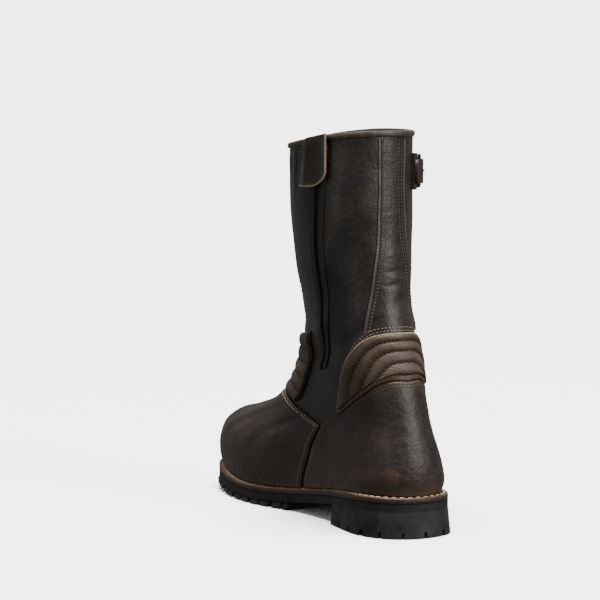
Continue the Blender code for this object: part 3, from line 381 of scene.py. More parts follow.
def upper_base(hoop, turn):
    """A point of the surface, for a hoop number and a turn in degrees."""
    hoop, turn = np.broadcast_arrays(np.asarray(hoop, float), np.asarray(turn, float))
    angle = np.radians(turn)
    share = (1 - np.cos(angle)) / 2
    back_y = place(hoop_value("back", hoop))
    front_y = place(hoop_value("front", hoop))
    y = back_y + (front_y - back_y) * share
    back_z = split_height(hoop_value("back_up", hoop), seat(back_y), ANKLE_HEIGHT, BACK_HEIGHT)
    front_z = split_height(hoop_value("front_up", hoop), seat(front_y), INSTEP_HEIGHT, FRONT_HEIGHT)
    plane = back_z + (front_z - back_z) * share
    rise = (back_z - seat(back_y)) * (1 - share) + (front_z - seat(front_y)) * share
    level = hoop_value("level", hoop)
    z = (seat(y) + rise) * (1 - level) + plane * level
    twist = ease((hoop - TWIST_START) / (COLLAR_HOOP - TWIST_START))
    z = z + COLLAR_TWIST * twist * np.sin(angle) * share

    lateral, medial = sole_sides(share)
    blend = ease(share / 0.7)
    named = HEEL_WIDTH / 2 * (1 - blend) + BALL_WIDTH / 2 * blend
    heel = hoop_value("heel", hoop)
    here = heel * (1 - blend) + hoop_value("fore", hoop) * blend
    scale = here / named
    foot_half = (lateral + medial) / 2 * scale
    foot_middle = (lateral - medial) / 2 * scale
    widest = hoop_value("widest", hoop)
    reach = np.where(share < widest, (widest - share) / widest, (share - widest) / (1 - widest))
    oval_half = heel * np.sqrt(np.clip(1 - reach ** 2, 0, 1))
    lean = hoop_value("lean", hoop) * (1 - share) + hoop_value("ridge", hoop) * share
    roundness = hoop_value("round", hoop)
    half = foot_half * (1 - roundness) + oval_half * roundness
    middle = foot_middle * (1 - roundness) - SHAFT_LEAN * lean
    x = middle + np.sign(np.sin(angle)) * half
    return np.stack([x, y, z], -1)


def upper_normal(hoop, turn):
    step_hoop = 0.04
    step_turn = 1.2
    high = upper_base(np.clip(hoop + step_hoop, 0, COLLAR_HOOP), turn)
    low = upper_base(np.clip(hoop - step_hoop, 0, COLLAR_HOOP), turn)
    after = upper_base(hoop, turn + step_turn)
    before = upper_base(hoop, turn - step_turn)
    across = np.cross(after - before, high - low)
    return across / np.linalg.norm(across, axis=-1, keepdims=True)


def on_upper(hoop, turn, lift=0.0):
    """A point that stands a distance off the surface."""
    hoop, turn, lift = np.broadcast_arrays(*(np.asarray(v, float) for v in (hoop, turn, lift)))
    return upper_base(hoop, turn) + upper_normal(hoop, turn) * lift[..., None]


def hoop_at(turn, height):
    """The hoop number at which the surface reaches a height."""
    turn, height = np.broadcast_arrays(np.asarray(turn, float), np.asarray(height, float))
    low = np.zeros(turn.shape)
    high = np.full(turn.shape, float(COLLAR_HOOP))
    for _ in range(26):
        middle = (low + high) / 2
        under = upper_base(middle, turn)[..., 2] < height
        low = np.where(under, middle, low)
        high = np.where(under, high, middle)
    return (low + high) / 2


# Mesh builders

def add_object(name, vertices, faces, finish, smooth=True):
    mesh = bpy.data.meshes.new(name)
    mesh.from_pydata([tuple(float(v) for v in p) for p in vertices], [], faces)
    work = bmesh.new()
    work.from_mesh(mesh)
    bmesh.ops.triangulate(work, faces=work.faces)
    bmesh.ops.recalc_face_normals(work, faces=work.faces)
    if work.calc_volume(signed=True) < 0:
        bmesh.ops.reverse_faces(work, faces=work.faces)
    work.to_mesh(mesh)
    work.free()
    if smooth:
        mesh.shade_smooth()
        mesh.set_sharp_from_angle(angle=math.radians(35))
    made = bpy.data.objects.new(name, mesh)
    made.data.materials.append(finish)
    bpy.context.scene.collection.objects.link(made)
    return made


def grid_faces(rows, columns, start=0, wrap=False):
    faces = []
    last = columns if wrap else columns - 1
    for row in range(rows - 1):
        for column in range(last):
            beside = (column + 1) % columns
            a = start + row * columns
            b = a + columns
            faces.append((a + column, a + beside, b + beside, b + column))
    return faces


def shell(name, outer, inner, finish):
    """A closed sheet between two grids of points."""
    rows, columns = outer.shape[:2]
    count = rows * columns
    vertices = list(outer.reshape(-1, 3)) + list(inner.reshape(-1, 3))
    faces = grid_faces(rows, columns)
    faces += [tuple(count + i for i in reversed(face)) for face in faces]
    rim = [(0, c) for c in range(columns)] + [(r, columns - 1) for r in range(1, rows)]
    rim += [(rows - 1, c) for c in range(columns - 2, -1, -1)] + [(r, 0) for r in range(rows - 2, 0, -1)]
    flat = [r * columns + c for r, c in rim]
    for here, after in zip(flat, flat[1:] + flat[:1]):
        faces.append((after, here, count + here, count + after))
    return add_object(name, vertices, faces, finish)


def ring(name, loops, finish):
    """A closed band made of loops that go round the boot, joined last to first."""
    count = len(loops[0])
    vertices = [p for loop in loops for p in loop]
    faces = grid_faces(len(loops), count, wrap=True)
    top = (len(loops) - 1) * count
    for i in range(count):
        after = (i + 1) % count
        faces.append((top + i, top + after, after, i))
    return add_object(name, vertices, faces, finish)


def plank(name, loops, finish):
    """Stacked loops whose ends are closed by strips from side to side."""
    count = len(loops[0])
    vertices = [p for loop in loops for p in loop]
    faces = grid_faces(len(loops), count, wrap=True)
    for start in (0, (len(loops) - 1) * count):
        for i in range(1, count // 2):
            far = count - i
            if i == 1:
                faces.append((start, start + 1, start + far))
            if i == count // 2 - 1:
                faces.append((start + i, start + i + 1, start + far))
            else:
                faces.append((start + i, start + i + 1, start + far - 1, start + far))
    return add_object(name, vertices, faces, finish)


def bar(name, sections, finish):
    """Sections of the same number of points, joined in a row and capped."""
    count = len(sections[0])
    vertices = [p for section in sections for p in section]
    faces = grid_faces(len(sections), count, wrap=True)
    last = (len(sections) - 1) * count
    faces.append(tuple(reversed(range(count))))
    faces.append(tuple(range(last, last + count)))
    return add_object(name, vertices, faces, finish)


def prisms(name, outlines, low, high):
    """Upright cutters or studs with the given plans, in one mesh."""
    vertices = []
    faces = []
    for outline in outlines:
        start = len(vertices)
        count = len(outline)
        vertices += [(x, y, low) for x, y in outline] + [(x, y, high) for x, y in outline]
        faces.append(tuple(start + i for i in reversed(range(count))))
        faces.append(tuple(start + count + i for i in range(count)))
        for i in range(count):
            after = (i + 1) % count
            faces.append((start + i, start + after, start + count + after, start + count + i))
    return add_object(name, vertices, faces, CUTTER, smooth=False)


def boolean(target, other, operation):
    step = target.modifiers.new(other.name, "BOOLEAN")
    step.operation = operation
    step.solver = "EXACT"
    step.object = other
    other.hide_render = True
    other.display_type = "WIRE"


def with_height(points, height):
    """Plan points raised to a height, or to a function of their Y."""
    z = height(points[:, 1]) if callable(height) else np.full(len(points), height)
    return np.column_stack([points, z])


# Rubber

def sole_angles():
    return np.arange(SOLE_STATIONS) * 2 * math.pi / SOLE_STATIONS


def tread_ray(angle):
    """The edge at an angle of the outline, the way its lugs run in from there, and their length."""
    edge = plan_point(angle)
    share = (1 - np.cos(angle)) / 2
    focus_share = np.minimum(share, TOE_FOCUS)
    lateral, medial = sole_sides(focus_share)
    focus = np.stack([(lateral - medial) / 2, place(focus_share)], -1)
    inwards = focus - edge
    inwards /= np.linalg.norm(inwards, axis=-1, keepdims=True)
    at_toe = ease((share - TOE_FOCUS) / (1 - TOE_FOCUS))
    return edge, inwards, LUG_LENGTH + (TOE_LUG_LENGTH - LUG_LENGTH) * at_toe


def heel_ray(angle):
    """The same for the heel, whose lugs point to its oval."""
    edge = plan_point(angle)
    focus = np.array([0.0, np.clip(edge[1], 0, HEEL_FOCUS)])
    inwards = focus - edge
    return edge, inwards / np.linalg.norm(inwards), HEEL_LUG_LENGTH


def slot_outline(ray, slot):
    """The plan of a groove that runs in from the edge, with a diamond part way along."""
    edge, inwards, length = ray
    beside = np.array([-inwards[1], inwards[0]])
    half = slot / 2
    rows = (
        (-0.20, half * 1.15),
        (0.50, half),
        (0.59, max(DIAMOND / 2, half * 1.3)),
        (0.68, half * 0.9),
        (1.06, half * 0.8),
    )
    one_side = [edge + inwards * length * along + beside * reach for along, reach in rows]
    other_side = [edge + inwards * length * along - beside * reach for along, reach in reversed(rows)]
    return one_side + other_side


def angles_by_pitch(start, end, pitch):
    """Angles of the outline a pitch apart along its edge, with half a pitch at each end."""
    fine = np.linspace(start, end, 400)
    edge = plan_point(fine)
    run = np.concatenate([[0], np.cumsum(np.linalg.norm(np.diff(edge, axis=0), axis=1))])
    count = max(1, round(run[-1] / pitch))
    marks = (np.arange(count) + 0.5) * run[-1] / count
    return list(np.interp(marks, run, fine))


def share_angle(share, medial=False):
    angle = math.acos(1 - 2 * share)
    return 2 * math.pi - angle if medial else angle


def stud_outline(centre, size, start):
    """A four-leaf stud."""
    points = []
    for i in range(16):
        angle = start + i * math.pi / 8
        radius = size / 2 * (1.0, 0.86, 0.48, 0.86)[i % 4]
        points.append((centre[0] + radius * math.cos(angle), centre[1] + radius * math.sin(angle)))
    return points


# The studs down the middle of the tread: share of the length, and X as a share of BALL_WIDTH
StudRow = namedtuple("StudRow", "share side start")
STUD_ROWS = (
    StudRow(0.822, 0.056, 0.2),
    StudRow(0.750, 0.122, 0.6),
    StudRow(0.697, -0.017, 0.1),
    StudRow(0.613, 0.020, 0.5),
    StudRow(0.541, 0.096, 0.3),
)


def lug_top(y):
    """Where the lugs end inside the sheet."""
    return sheet_under(y) + LUG_SINK


def make_outsole(rubber):
    angles = sole_angles()
    edge = plan_loop(angles, SIDE_FLARE)
    sheet = plank("outsole", [with_height(edge, sheet_under), with_height(edge, sheet_top)], rubber)

    start = share_angle(TREAD_END_LATERAL)
    end = share_angle(TREAD_END_MEDIAL, medial=True)
    around = np.linspace(start, end, 150)
    rim, inwards, length = tread_ray(around)
    outside = rim + inwards * SIDE_FLARE * 0.4
    sunk = rim + inwards * SIDE_FLARE * 1.6
    inside = rim + inwards * length[:, None]
    sides = (
        with_height(sunk, lug_top),
        with_height(outside, tread),
        with_height(inside, tread),
        with_height(inside, lug_top),
    )
    lugs = bar("lug_band", list(zip(*sides)), rubber)

    toe_start = share_angle(TOE_LUGS_START)
    toe_end = share_angle(TOE_LUGS_START, medial=True)
    marks = angles_by_pitch(start, toe_start, LUG_PITCH)
    marks += angles_by_pitch(toe_start, toe_end, TOE_LUG_PITCH)
    marks += angles_by_pitch(toe_end, end, LUG_PITCH)
    for side in range(2):
        plans = [slot_outline(tread_ray(mark), (SLOT, WIDE_SLOT)[side]) for mark in marks[side::2]]
        boolean(lugs, prisms(f"lug_slots_{side}", plans, -0.02, 0.05), "DIFFERENCE")
    boolean(sheet, lugs, "UNION")

    for number, row in enumerate(STUD_ROWS):
        centre = (row.side * BALL_WIDTH, place(row.share))
        plan = stud_outline(centre, STUD_SIZE, row.start)
        low = float(tread(centre[1]))
        stud = prisms(f"stud_{number}", [plan], low, float(lug_top(centre[1])))
        boolean(sheet, stud, "UNION")
    return sheet


def oval_loop(grow, height):
    """A loop round the oval in the middle of the heel, a distance outside it."""
    turns = np.arange(20) * math.pi / 10
    x = (HEEL_OVAL_WIDTH / 2 + grow) * np.cos(turns)
    y = (HEEL_OVAL_LENGTH / 2 + grow) * np.sin(turns)
    return np.column_stack([x, y, np.full(20, height)])


def make_heel(rubber):
    angles = sole_angles()
    tall = [
        with_height(plan_loop(angles, 0), 0.0),
        with_height(plan_loop(angles, SIDE_FLARE), lambda y: sheet_under(y) - GAP),
    ]
    block = plank("heel_block", tall, rubber)
    across = np.linspace(-1, 1, 9) * HEEL_WIDTH
    arc = [(x, BREAST + BREAST_BOW * (x / (HEEL_WIDTH / 2)) ** 2) for x in across]
    beyond = [(HEEL_WIDTH, LENGTH), (-HEEL_WIDTH, LENGTH)]
    boolean(block, prisms("breast_cut", [arc + beyond], -0.01, 0.08), "DIFFERENCE")

    breast_share = float(share_of(BREAST - 2 * MM))
    marks = angles_by_pitch(-share_angle(breast_share), share_angle(breast_share), HEEL_LUG_PITCH)
    plans = [slot_outline(heel_ray(mark), WIDE_SLOT if i == 2 else SLOT) for i, mark in enumerate(marks)]
    boolean(block, prisms("heel_slots", plans, -0.01, HEEL_LUG_DEPTH), "DIFFERENCE")

    moat = [(0, -0.01), (HEEL_MOAT, -0.01), (HEEL_MOAT, HEEL_LUG_DEPTH * 0.9), (0, HEEL_LUG_DEPTH * 0.9)]
    loops = [oval_loop(grow, height) for grow, height in moat]
    boolean(block, ring("heel_moat", loops, CUTTER), "DIFFERENCE")
    return block


# Panels on the upper

def edge_heights(edges, turns):
    keys = [row.turn for row in edges]
    return ANKLE_HEIGHT * smooth_through(keys, [row.height for row in edges], np.abs(turns))


def counter_front(up):
    """The turn of the counter's front edge, at shares of the way up."""
    return smooth_through([row.up for row in COUNTER_FRONT], [row.turn for row in COUNTER_FRONT], up)


def pad_grid(along, rows, above):
    """Hoops and turns of arches nested in the pad's top edge. They end above the counter."""
    half = np.abs(2 * along - 1)
    side = np.sign(2 * along - 1)
    rows = rows[:, None]
    key = np.linspace(0, 1, len(PAD_TOP))
    arch_turn = smooth_through(key, [row.turn for row in PAD_TOP], half)
    arch_height = ANKLE_HEIGHT * smooth_through(key, [row.height for row in PAD_TOP], half)
    core_turn = PAD_CORE_TURN * half
    core_height = edge_heights(COUNTER_TOP, core_turn) + above
    inwards = rows ** (1 + 0.25 * (1 - half ** 2))
    turns = arch_turn + (core_turn - arch_turn) * rows
    heights = arch_height + (core_height - arch_height) * inwards
    at_end = edge_heights(COUNTER_TOP, turns[:, -1:]) + above - heights[:, -1:]
    return hoop_at(turns * side, heights + at_end * half ** 4), turns * side


def ribbon(name, hoops, turns, width, section, finish, low=GAP):
    """A strip along a path on the upper. section has rows of (share across, height)."""
    centre = on_upper(hoops, turns)
    along = np.gradient(centre, axis=0)
    normal = upper_normal(hoops, turns)
    across = np.cross(normal, along)
    across /= np.linalg.norm(across, axis=-1, keepdims=True)
    reach = np.radians(1.0) * np.linalg.norm(
        np.cross(on_upper(hoops, turns + 0.5) - on_upper(hoops, turns - 0.5), normal), axis=-1
    )
    turn_per_length = np.radians(1.0) / reach
    sections = []
    for i in range(len(centre)):
        points = []
        for share, height in section:
            side = across[i] * width * share
            level = on_upper(hoops[i], turns[i] - share * width * turn_per_length[i], 0)
            flat = centre[i] + side
            drop = np.dot(level - flat, normal[i])
            points.append(flat + normal[i] * (drop + low + height))
        sections.append(points)
    return bar(name, sections, finish)


# The zip, its slider and its flap

def on_shaft(turn, height, lift):
    """A point at a turn and a height, also above the collar."""
    point = on_upper(hoop_at(turn, height), turn, lift)
    point[..., 2] = height
    return point


def zip_path(low, high, count):
    """Hoops and turns along the zip between two heights."""
    heights = np.linspace(low, high, count)
    keys = [row.height * SIDE_HEIGHT for row in ZIP_ROWS]
    turns = smooth_through(keys, [row.turn for row in ZIP_ROWS], heights)
    return hoop_at(turns, heights), turns


def make_slider(metal):
    """The closed slider, at the top of the chain and under the flap."""
    high = ZIP_ROWS[-1].height * SIDE_HEIGHT
    hoops, turns = zip_path(high - SLIDER_LENGTH, high, 4)
    half = [(0.5, 0), (0.5, 0.6 * SLIDER_THICK), (0.34, SLIDER_THICK)]
    section = half + [(-share, height) for share, height in reversed(half)]
    return ribbon("zip_slider", hoops, turns, SLIDER_WIDTH, section, metal, low=2 * GAP + ZIP_CHAIN)


def flap_lift(share, turns, heights):
    """The underside of the flap: sewn down in front, over the collar above and the slider behind."""
    collar = upper_base(COLLAR_HOOP, turns)[..., 2]
    over_collar = ease((heights - collar + 2 * COLLAR_ROLL) / COLLAR_ROLL)
    sewn = PANEL_GAP + (COLLAR_OUT + GAP - PANEL_GAP) * over_collar
    free = 3 * GAP + ZIP_CHAIN + SLIDER_THICK
    return sewn + (free - sewn) * ease(share / 0.36)


def flap_grid(share, up):
    """Turns and heights of the flap from its front edge to its rear one, and its underside."""
    near_rear = np.clip((share - 0.5) / 0.5, 0, 0.98)
    top = SIDE_HEIGHT + FLAP_RISE
    foot = top - FLAP_LENGTH + FLAP_CORNER * (1 - np.sqrt(1 - near_rear ** 2))
    heights = foot + (top - FLAP_DROP * (1 - share) - foot) * up
    front = FLAP_FRONT_TURN + FLAP_SLANT * up
    turns = front + (FLAP_REAR_TURN - front) * share
    return turns, heights, flap_lift(share + np.zeros_like(heights), turns, heights)


# The strap and its buckle, laid out by distances from the buckle's middle

BAR_REACH = (BUCKLE_LENGTH - BUCKLE_ROD) / 2
BAR_EYE = BUCKLE_ROD / 2 + GAP
HEEL_BAR_LIFT = GAP + CHAPE_LEAF + BAR_EYE
CHAPE_TOP = GAP + 2 * CHAPE_LEAF + CHAPE_SLIT


def turn_length(turn):
    """The length along the collar of one degree of turn."""
    ends = upper_base(COLLAR_HOOP, np.array([turn - 0.5, turn + 0.5]))
    return float(np.linalg.norm(ends[1] - ends[0]))


def at_buckle(along, up, lift):
    turn = BUCKLE_TURN + np.asarray(along) / turn_length(BUCKLE_TURN)
    return on_shaft(turn, (SIDE_HEIGHT - STRAP_DROP) + np.asarray(up), lift)


def across_buckle(name, outline, ups, finish):
    """A piece with the same side view at several heights."""
    along = np.array([point[0] for point in outline])
    lift = np.array([point[1] for point in outline])
    return bar(name, [at_buckle(along, up, lift) for up in ups], finish)


def block_outline(rear, front):
    """The side view of a cutter that reaches through the strap and its anchor."""
    top = STRAP_THICK + BUCKLE_RAKE + 2 * BUCKLE_ROD
    return [(rear, -WALL), (front, -WALL), (front, top), (rear, top)]


def bar_lift(along):
    """The lift of the frame's rod: its heel bar lies low and its outer bar stands off."""
    return HEEL_BAR_LIFT + BUCKLE_RAKE * (along + BAR_REACH) / (2 * BAR_REACH)


def make_buckle_frame(metal):
    """A rounded rectangle of rod."""
    angles = (np.arange(64) + 0.5) * math.pi / 32
    outward = np.column_stack([np.cos(angles), np.sin(angles)])
    reach = np.array([BAR_REACH, (BUCKLE_HEIGHT - BUCKLE_ROD) / 2]) - BUCKLE_CORNER
    path = np.sign(outward) * reach + outward * BUCKLE_CORNER
    loops = []
    for i in range(12):
        side = BUCKLE_ROD / 2 * math.cos(i * math.pi / 6)
        out = BUCKLE_ROD / 2 * math.sin(i * math.pi / 6)
        plan = path + outward * side
        loops.append(at_buckle(plan[:, 0], plan[:, 1], bar_lift(path[:, 0]) + out))
    return ring("buckle_frame", loops, metal)


def make_strap_anchor(leather):
    """A strip folded round the heel bar and sewn to the shaft, with a slot for the prong."""
    behind = [-CHAPE_BACK, -(CHAPE_BACK + BAR_REACH + CHAPE_RISE) / 2, -BAR_REACH - CHAPE_RISE]
    rising = -BAR_REACH - CHAPE_RISE / 2
    half_turn = [math.radians(angle) for angle in (-90, -54, -18, 18, 54, 90)]

    def round_bar(radius):
        return [(-BAR_REACH + radius * math.cos(a), HEEL_BAR_LIFT + radius * math.sin(a)) for a in half_turn]

    outer_eye = BAR_EYE + CHAPE_LEAF
    middle_top = (CHAPE_TOP + HEEL_BAR_LIFT + outer_eye) / 2
    outline = [(along, GAP) for along in behind] + [(rising, GAP)]
    outline += round_bar(outer_eye)
    outline += [(rising, middle_top)] + [(along, CHAPE_TOP) for along in reversed(behind)]
    outline += [(along, CHAPE_TOP - CHAPE_LEAF) for along in behind] + [(rising, middle_top - CHAPE_LEAF)]
    outline += list(reversed(round_bar(BAR_EYE)))
    outline += [(rising, GAP + CHAPE_LEAF)] + [(along, GAP + CHAPE_LEAF) for along in reversed(behind)]
    ups = np.linspace(-1, 1, 4) * CHAPE_HEIGHT / 2
    anchor = across_buckle("strap_anchor", outline, ups, leather)
    shoulder = -BAR_REACH - BAR_EYE
    slot = block_outline(shoulder, 0)
    slot_ups = (-PRONG_SLOT / 2, PRONG_SLOT / 2)
    boolean(anchor, across_buckle("prong_slot", slot, slot_ups, CUTTER), "DIFFERENCE")
    beside = block_outline(shoulder - CHAPE_RISE / 2, 0)
    for name, side in (("low_shoulder", -1), ("high_shoulder", 1)):
        ups = (side * CHAPE_NECK / 2, side * CHAPE_HEIGHT)
        boolean(anchor, across_buckle(name, beside, ups, CUTTER), "DIFFERENCE")
    return anchor


def make_strap(leather):
    """Sewn to the shaft in front, under the outer bar, over the heel bar, and flat to its tip."""
    sewn = (STRAP_SEWN_TURN - BUCKLE_TURN) * turn_length(BUCKLE_TURN)
    under_bar = bar_lift(BAR_REACH) - BAR_EYE - STRAP_THICK
    over_bar = HEEL_BAR_LIFT + BAR_EYE + CHAPE_LEAF + GAP
    passes = (
        (-CHAPE_BACK, CHAPE_TOP + GAP),
        (-BAR_REACH - CHAPE_RISE, CHAPE_TOP + GAP),
        (-BAR_REACH, over_bar),
        (BAR_REACH, under_bar),
        (BAR_REACH + STRAP_RUN_IN, PANEL_GAP),
        (sewn, PANEL_GAP),
    )
    knots = np.array([row[0] for row in passes])
    spans = [np.linspace(a, b, 5)[:-1] for a, b in zip(knots[:-2], knots[1:-1])]
    along = np.concatenate(spans + [np.linspace(knots[-2], sewn, 11)])
    low = np.interp(along, knots, [row[1] for row in passes])
    taper = np.clip((along + CHAPE_BACK) / STRAP_TIP, 0, 1)
    half = STRAP_WIDTH / 2 * (0.4 + 0.6 * np.sqrt(1 - (1 - taper) ** 2))
    ups = np.array([-1, 0, 1])[:, None] * half
    alongs = np.broadcast_to(along, ups.shape)
    outer = at_buckle(alongs, ups, low + STRAP_THICK)
    strap = shell("strap", outer, at_buckle(alongs, ups, low), leather)
    hole = block_outline(-PRONG_HOLE / 2, PRONG_HOLE / 2)
    hole_ups = (-PRONG_SLOT / 2, PRONG_SLOT / 2)
    boolean(strap, across_buckle("prong_hole", hole, hole_ups, CUTTER), "DIFFERENCE")
    return strap


def make_prong(metal):
    """A rod from the heel bar, up through the strap's hole, onto the outer bar."""
    rest = bar_lift(BAR_REACH) + BAR_EYE + PRONG_ROD / 2
    rows = (
        (-BAR_REACH + BAR_EYE, HEEL_BAR_LIFT),
        (-0.36 * BAR_REACH, HEEL_BAR_LIFT + 0.10 * rest),
        (0.10 * BAR_REACH, HEEL_BAR_LIFT + 0.40 * rest),
        (0.58 * BAR_REACH, rest),
        (BAR_REACH, rest),
        (BAR_REACH + PRONG_ROD, rest - 0.2 * PRONG_ROD),
    )
    path = np.array(rows)
    along = np.gradient(path, axis=0)
    along /= np.linalg.norm(along, axis=1, keepdims=True)
    beside = np.column_stack([-along[:, 1], along[:, 0]])
    sections = []
    for point, normal in zip(path, beside):
        angles = np.arange(6) * math.pi / 3
        plan = point + normal * (PRONG_ROD / 2 * np.sin(angles))[:, None]
        sections.append(at_buckle(plan[:, 0], PRONG_ROD / 2 * np.cos(angles), plan[:, 1]))
    return bar("buckle_prong", sections, metal)


CUTTER = bpy.data.materials.new("cutter")


# Fine pieces

AROUND_FINE = 240
RIDES_ON = "root"


def keep(piece, slot, *nodes):
    """A finished piece of the boot, which stands for its CAD nodes."""
    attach(piece, RIDES_ON)
    if nodes:
        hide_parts(*nodes)
    return piece


def paint(piece, name, values):
    """A number per vertex that the material reads."""
    layer = piece.data.attributes.new(name, "FLOAT", "POINT")
    layer.data.foreach_set("value", np.asarray(values, np.float32).ravel())


# Creases, as soft troughs and ridges. Turn in degrees, height and sizes as shares of BACK_HEIGHT,
# slope in degrees from level, depth in shares of WALL (minus for a trough).
Fold = namedtuple("Fold", "turn height slope length width depth")
FOLDS = (
    Fold(-98, 0.930, 84, 0.110, 0.016, -0.34),
    Fold(-104, 0.925, 86, 0.120, 0.018, 0.30),
    Fold(-112, 0.930, 88, 0.110, 0.016, -0.30),
    Fold(-122, 0.925, 86, 0.110, 0.020, 0.24),
    Fold(-47, 0.700, 62, 0.150, 0.050, -0.42),
    Fold(-60, 0.760, 70, 0.130, 0.045, 0.36),
    Fold(-28, 0.560, 48, 0.120, 0.040, -0.30),
    Fold(-42, 0.500, 30, 0.100, 0.026, -0.36),
    Fold(-56, 0.470, 24, 0.100, 0.024, 0.30),
    Fold(-68, 0.520, 40, 0.120, 0.030, -0.44),
    Fold(-80, 0.440, 28, 0.110, 0.026, -0.36),
    Fold(-92, 0.490, 34, 0.120, 0.030, 0.34),
    Fold(-104, 0.430, 20, 0.120, 0.030, -0.40),
    Fold(-120, 0.470, 12, 0.130, 0.034, 0.30),
    Fold(10, 0.585, 16, 0.090, 0.030, -0.26),
    Fold(2, 0.700, 8, 0.100, 0.040, 0.22),
    Fold(4, 0.662, 4, 0.048, 0.009, -0.15),
    Fold(9, 0.644, -5, 0.050, 0.009, 0.13),
    Fold(1, 0.627, 3, 0.052, 0.009, -0.15),
    Fold(12, 0.610, -2, 0.044, 0.009, 0.12),
    Fold(14, 0.760, 78, 0.120, 0.022, -0.20),
    Fold(-26, 0.830, 82, 0.140, 0.040, 0.28),
    Fold(-38, 0.860, 86, 0.120, 0.030, -0.26),
    Fold(38, 0.560, -30, 0.100, 0.034, -0.30),
    Fold(54, 0.500, -34, 0.110, 0.030, 0.30),
    Fold(68, 0.540, -36, 0.120, 0.030, -0.40),
    Fold(84, 0.450, -26, 0.110, 0.028, -0.38),
    Fold(100, 0.490, -24, 0.120, 0.030, 0.34),
    Fold(118, 0.440, -14, 0.120, 0.030, -0.38),
    Fold(150, 0.520, 6, 0.150, 0.030, -0.34),
    Fold(176, 0.560, 0, 0.160, 0.034, 0.30),
    Fold(-150, 0.530, -6, 0.150, 0.030, -0.34),
    Fold(84, 0.760, 72, 0.150, 0.050, -0.30),
    Fold(120, 0.800, 84, 0.150, 0.060, 0.26),
    Fold(-140, 0.780, 86, 0.150, 0.060, -0.24),
    Fold(-106, 0.185, 66, 0.070, 0.012, -0.19),
    Fold(-113, 0.185, 70, 0.070, 0.014, 0.16),
    Fold(-98, 0.230, 50, 0.060, 0.016, -0.30),
    Fold(-126, 0.215, 58, 0.090, 0.018, -0.19),
    Fold(-136, 0.205, 64, 0.090, 0.018, 0.15),
    Fold(-146, 0.225, 74, 0.090, 0.018, -0.18),
    Fold(106, 0.190, -62, 0.080, 0.016, -0.18),
    Fold(118, 0.205, -60, 0.090, 0.018, 0.14),
    Fold(130, 0.215, -66, 0.090, 0.018, -0.19),
    Fold(146, 0.235, -76, 0.090, 0.018, -0.16),
    Fold(-34, 0.250, 40, 0.070, 0.020, -0.16),
    Fold(-58, 0.150, 20, 0.110, 0.030, -0.20),
    Fold(34, 0.220, -36, 0.080, 0.024, -0.18),
)
ARC = BACK_HEIGHT * 0.0030


def relief(points, turn):
    """How far the leather stands off its surface at points of it."""
    around = (np.asarray(turn, float) + 180) % 360 - 180
    height = points[..., 2]
    out = np.zeros(height.shape)
    for row in FOLDS:
        apart = (around - row.turn + 180) % 360 - 180
        flat = apart * ARC
        up = height - row.height * BACK_HEIGHT
        slope = math.radians(row.slope)
        along = flat * math.cos(slope) + up * math.sin(slope)
        along /= row.length * BACK_HEIGHT
        across = up * math.cos(slope) - flat * math.sin(slope)
        across /= row.width * BACK_HEIGHT
        out += row.depth * WALL * np.exp(-2.2 * along ** 2 - 2.2 * across ** 2)
    x, y, z = (points[..., i] / BACK_HEIGHT for i in range(3))
    slow = np.sin(23 * z + 9 * x + 1.0) * np.sin(19 * y - 7 * z) + 0.6 * np.sin(41 * z - 31 * y + 27 * x)
    out += 0.075 * WALL * slow
    near_sole = ease((height - seat(points[..., 1]) - 4 * MM) / (9 * MM))
    near_collar = ease((upper_base(COLLAR_HOOP, turn)[..., 2] - height) / (9 * MM))
    return out * near_sole * near_collar


def on_leather(hoops, turns, lift=0.0):
    """A point a distance off the creased surface."""
    hoops, turns = np.broadcast_arrays(np.asarray(hoops, float), np.asarray(turns, float))
    base = upper_base(hoops, turns)
    return base + upper_normal(hoops, turns) * (relief(base, turns) + lift)[..., None]


def steps(points, axis):
    """Distance along a grid of points from its first row or column."""
    apart = np.linalg.norm(np.diff(points, axis=axis), axis=-1)
    start = np.zeros_like(np.take(apart, [0], axis=axis))
    return np.concatenate([start, np.cumsum(apart, axis=axis)], axis=axis)


def edge_distance(points):
    """How far each point of a grid is from the grid's nearest edge."""
    down = steps(points, 0)
    over = steps(points, 1)
    return np.minimum.reduce([down, down[-1:] - down, over, over[:, -1:] - over])


def rounded(distance, thick, edge):
    """The face of a panel whose edge is rolled over."""
    t = np.clip(distance / edge, 0, 1)
    return thick * (0.3 + 0.7 * np.sqrt(1 - (1 - t) ** 2))


def fine_shell(name, outer, inner, finish, wear):
    piece = shell(name, outer, inner, finish)
    paint(piece, "wear", np.concatenate([wear.ravel(), wear.ravel()]))
    return piece


def fine_panel(name, hoops, turns, thick, finish, reach=2.6 * MM):
    points = on_upper(hoops, turns)
    distance = edge_distance(points)
    lift = PANEL_GAP + rounded(distance, thick, 1.3 * MM)
    low = points[..., 2] - seat(points[..., 1])
    wear = np.clip(np.exp(-distance / reach) + 0.75 * np.exp(-low / (11 * MM)), 0, 1)
    return fine_shell(name, on_leather(hoops, turns, lift), on_leather(hoops, turns, PANEL_GAP), finish, wear)


# Thread

def path_frames(points, normals):
    along = np.gradient(points, axis=0)
    along /= np.linalg.norm(along, axis=1, keepdims=True)
    across = np.cross(normals, along)
    across /= np.linalg.norm(across, axis=1, keepdims=True)
    return along, across


def walk(points, normals, pitch):
    """Points and normals an even pitch apart along a path."""
    run = np.concatenate([[0], np.cumsum(np.linalg.norm(np.diff(points, axis=0), axis=1))])
    count = max(2, int(run[-1] / pitch))
    marks = (np.arange(count) + 0.5) * run[-1] / count
    place_at = np.stack([np.interp(marks, run, points[:, i]) for i in range(3)], -1)
    normal = np.stack([np.interp(marks, run, normals[:, i]) for i in range(3)], -1)
    normal /= np.linalg.norm(normal, axis=1, keepdims=True)
    return place_at, normal


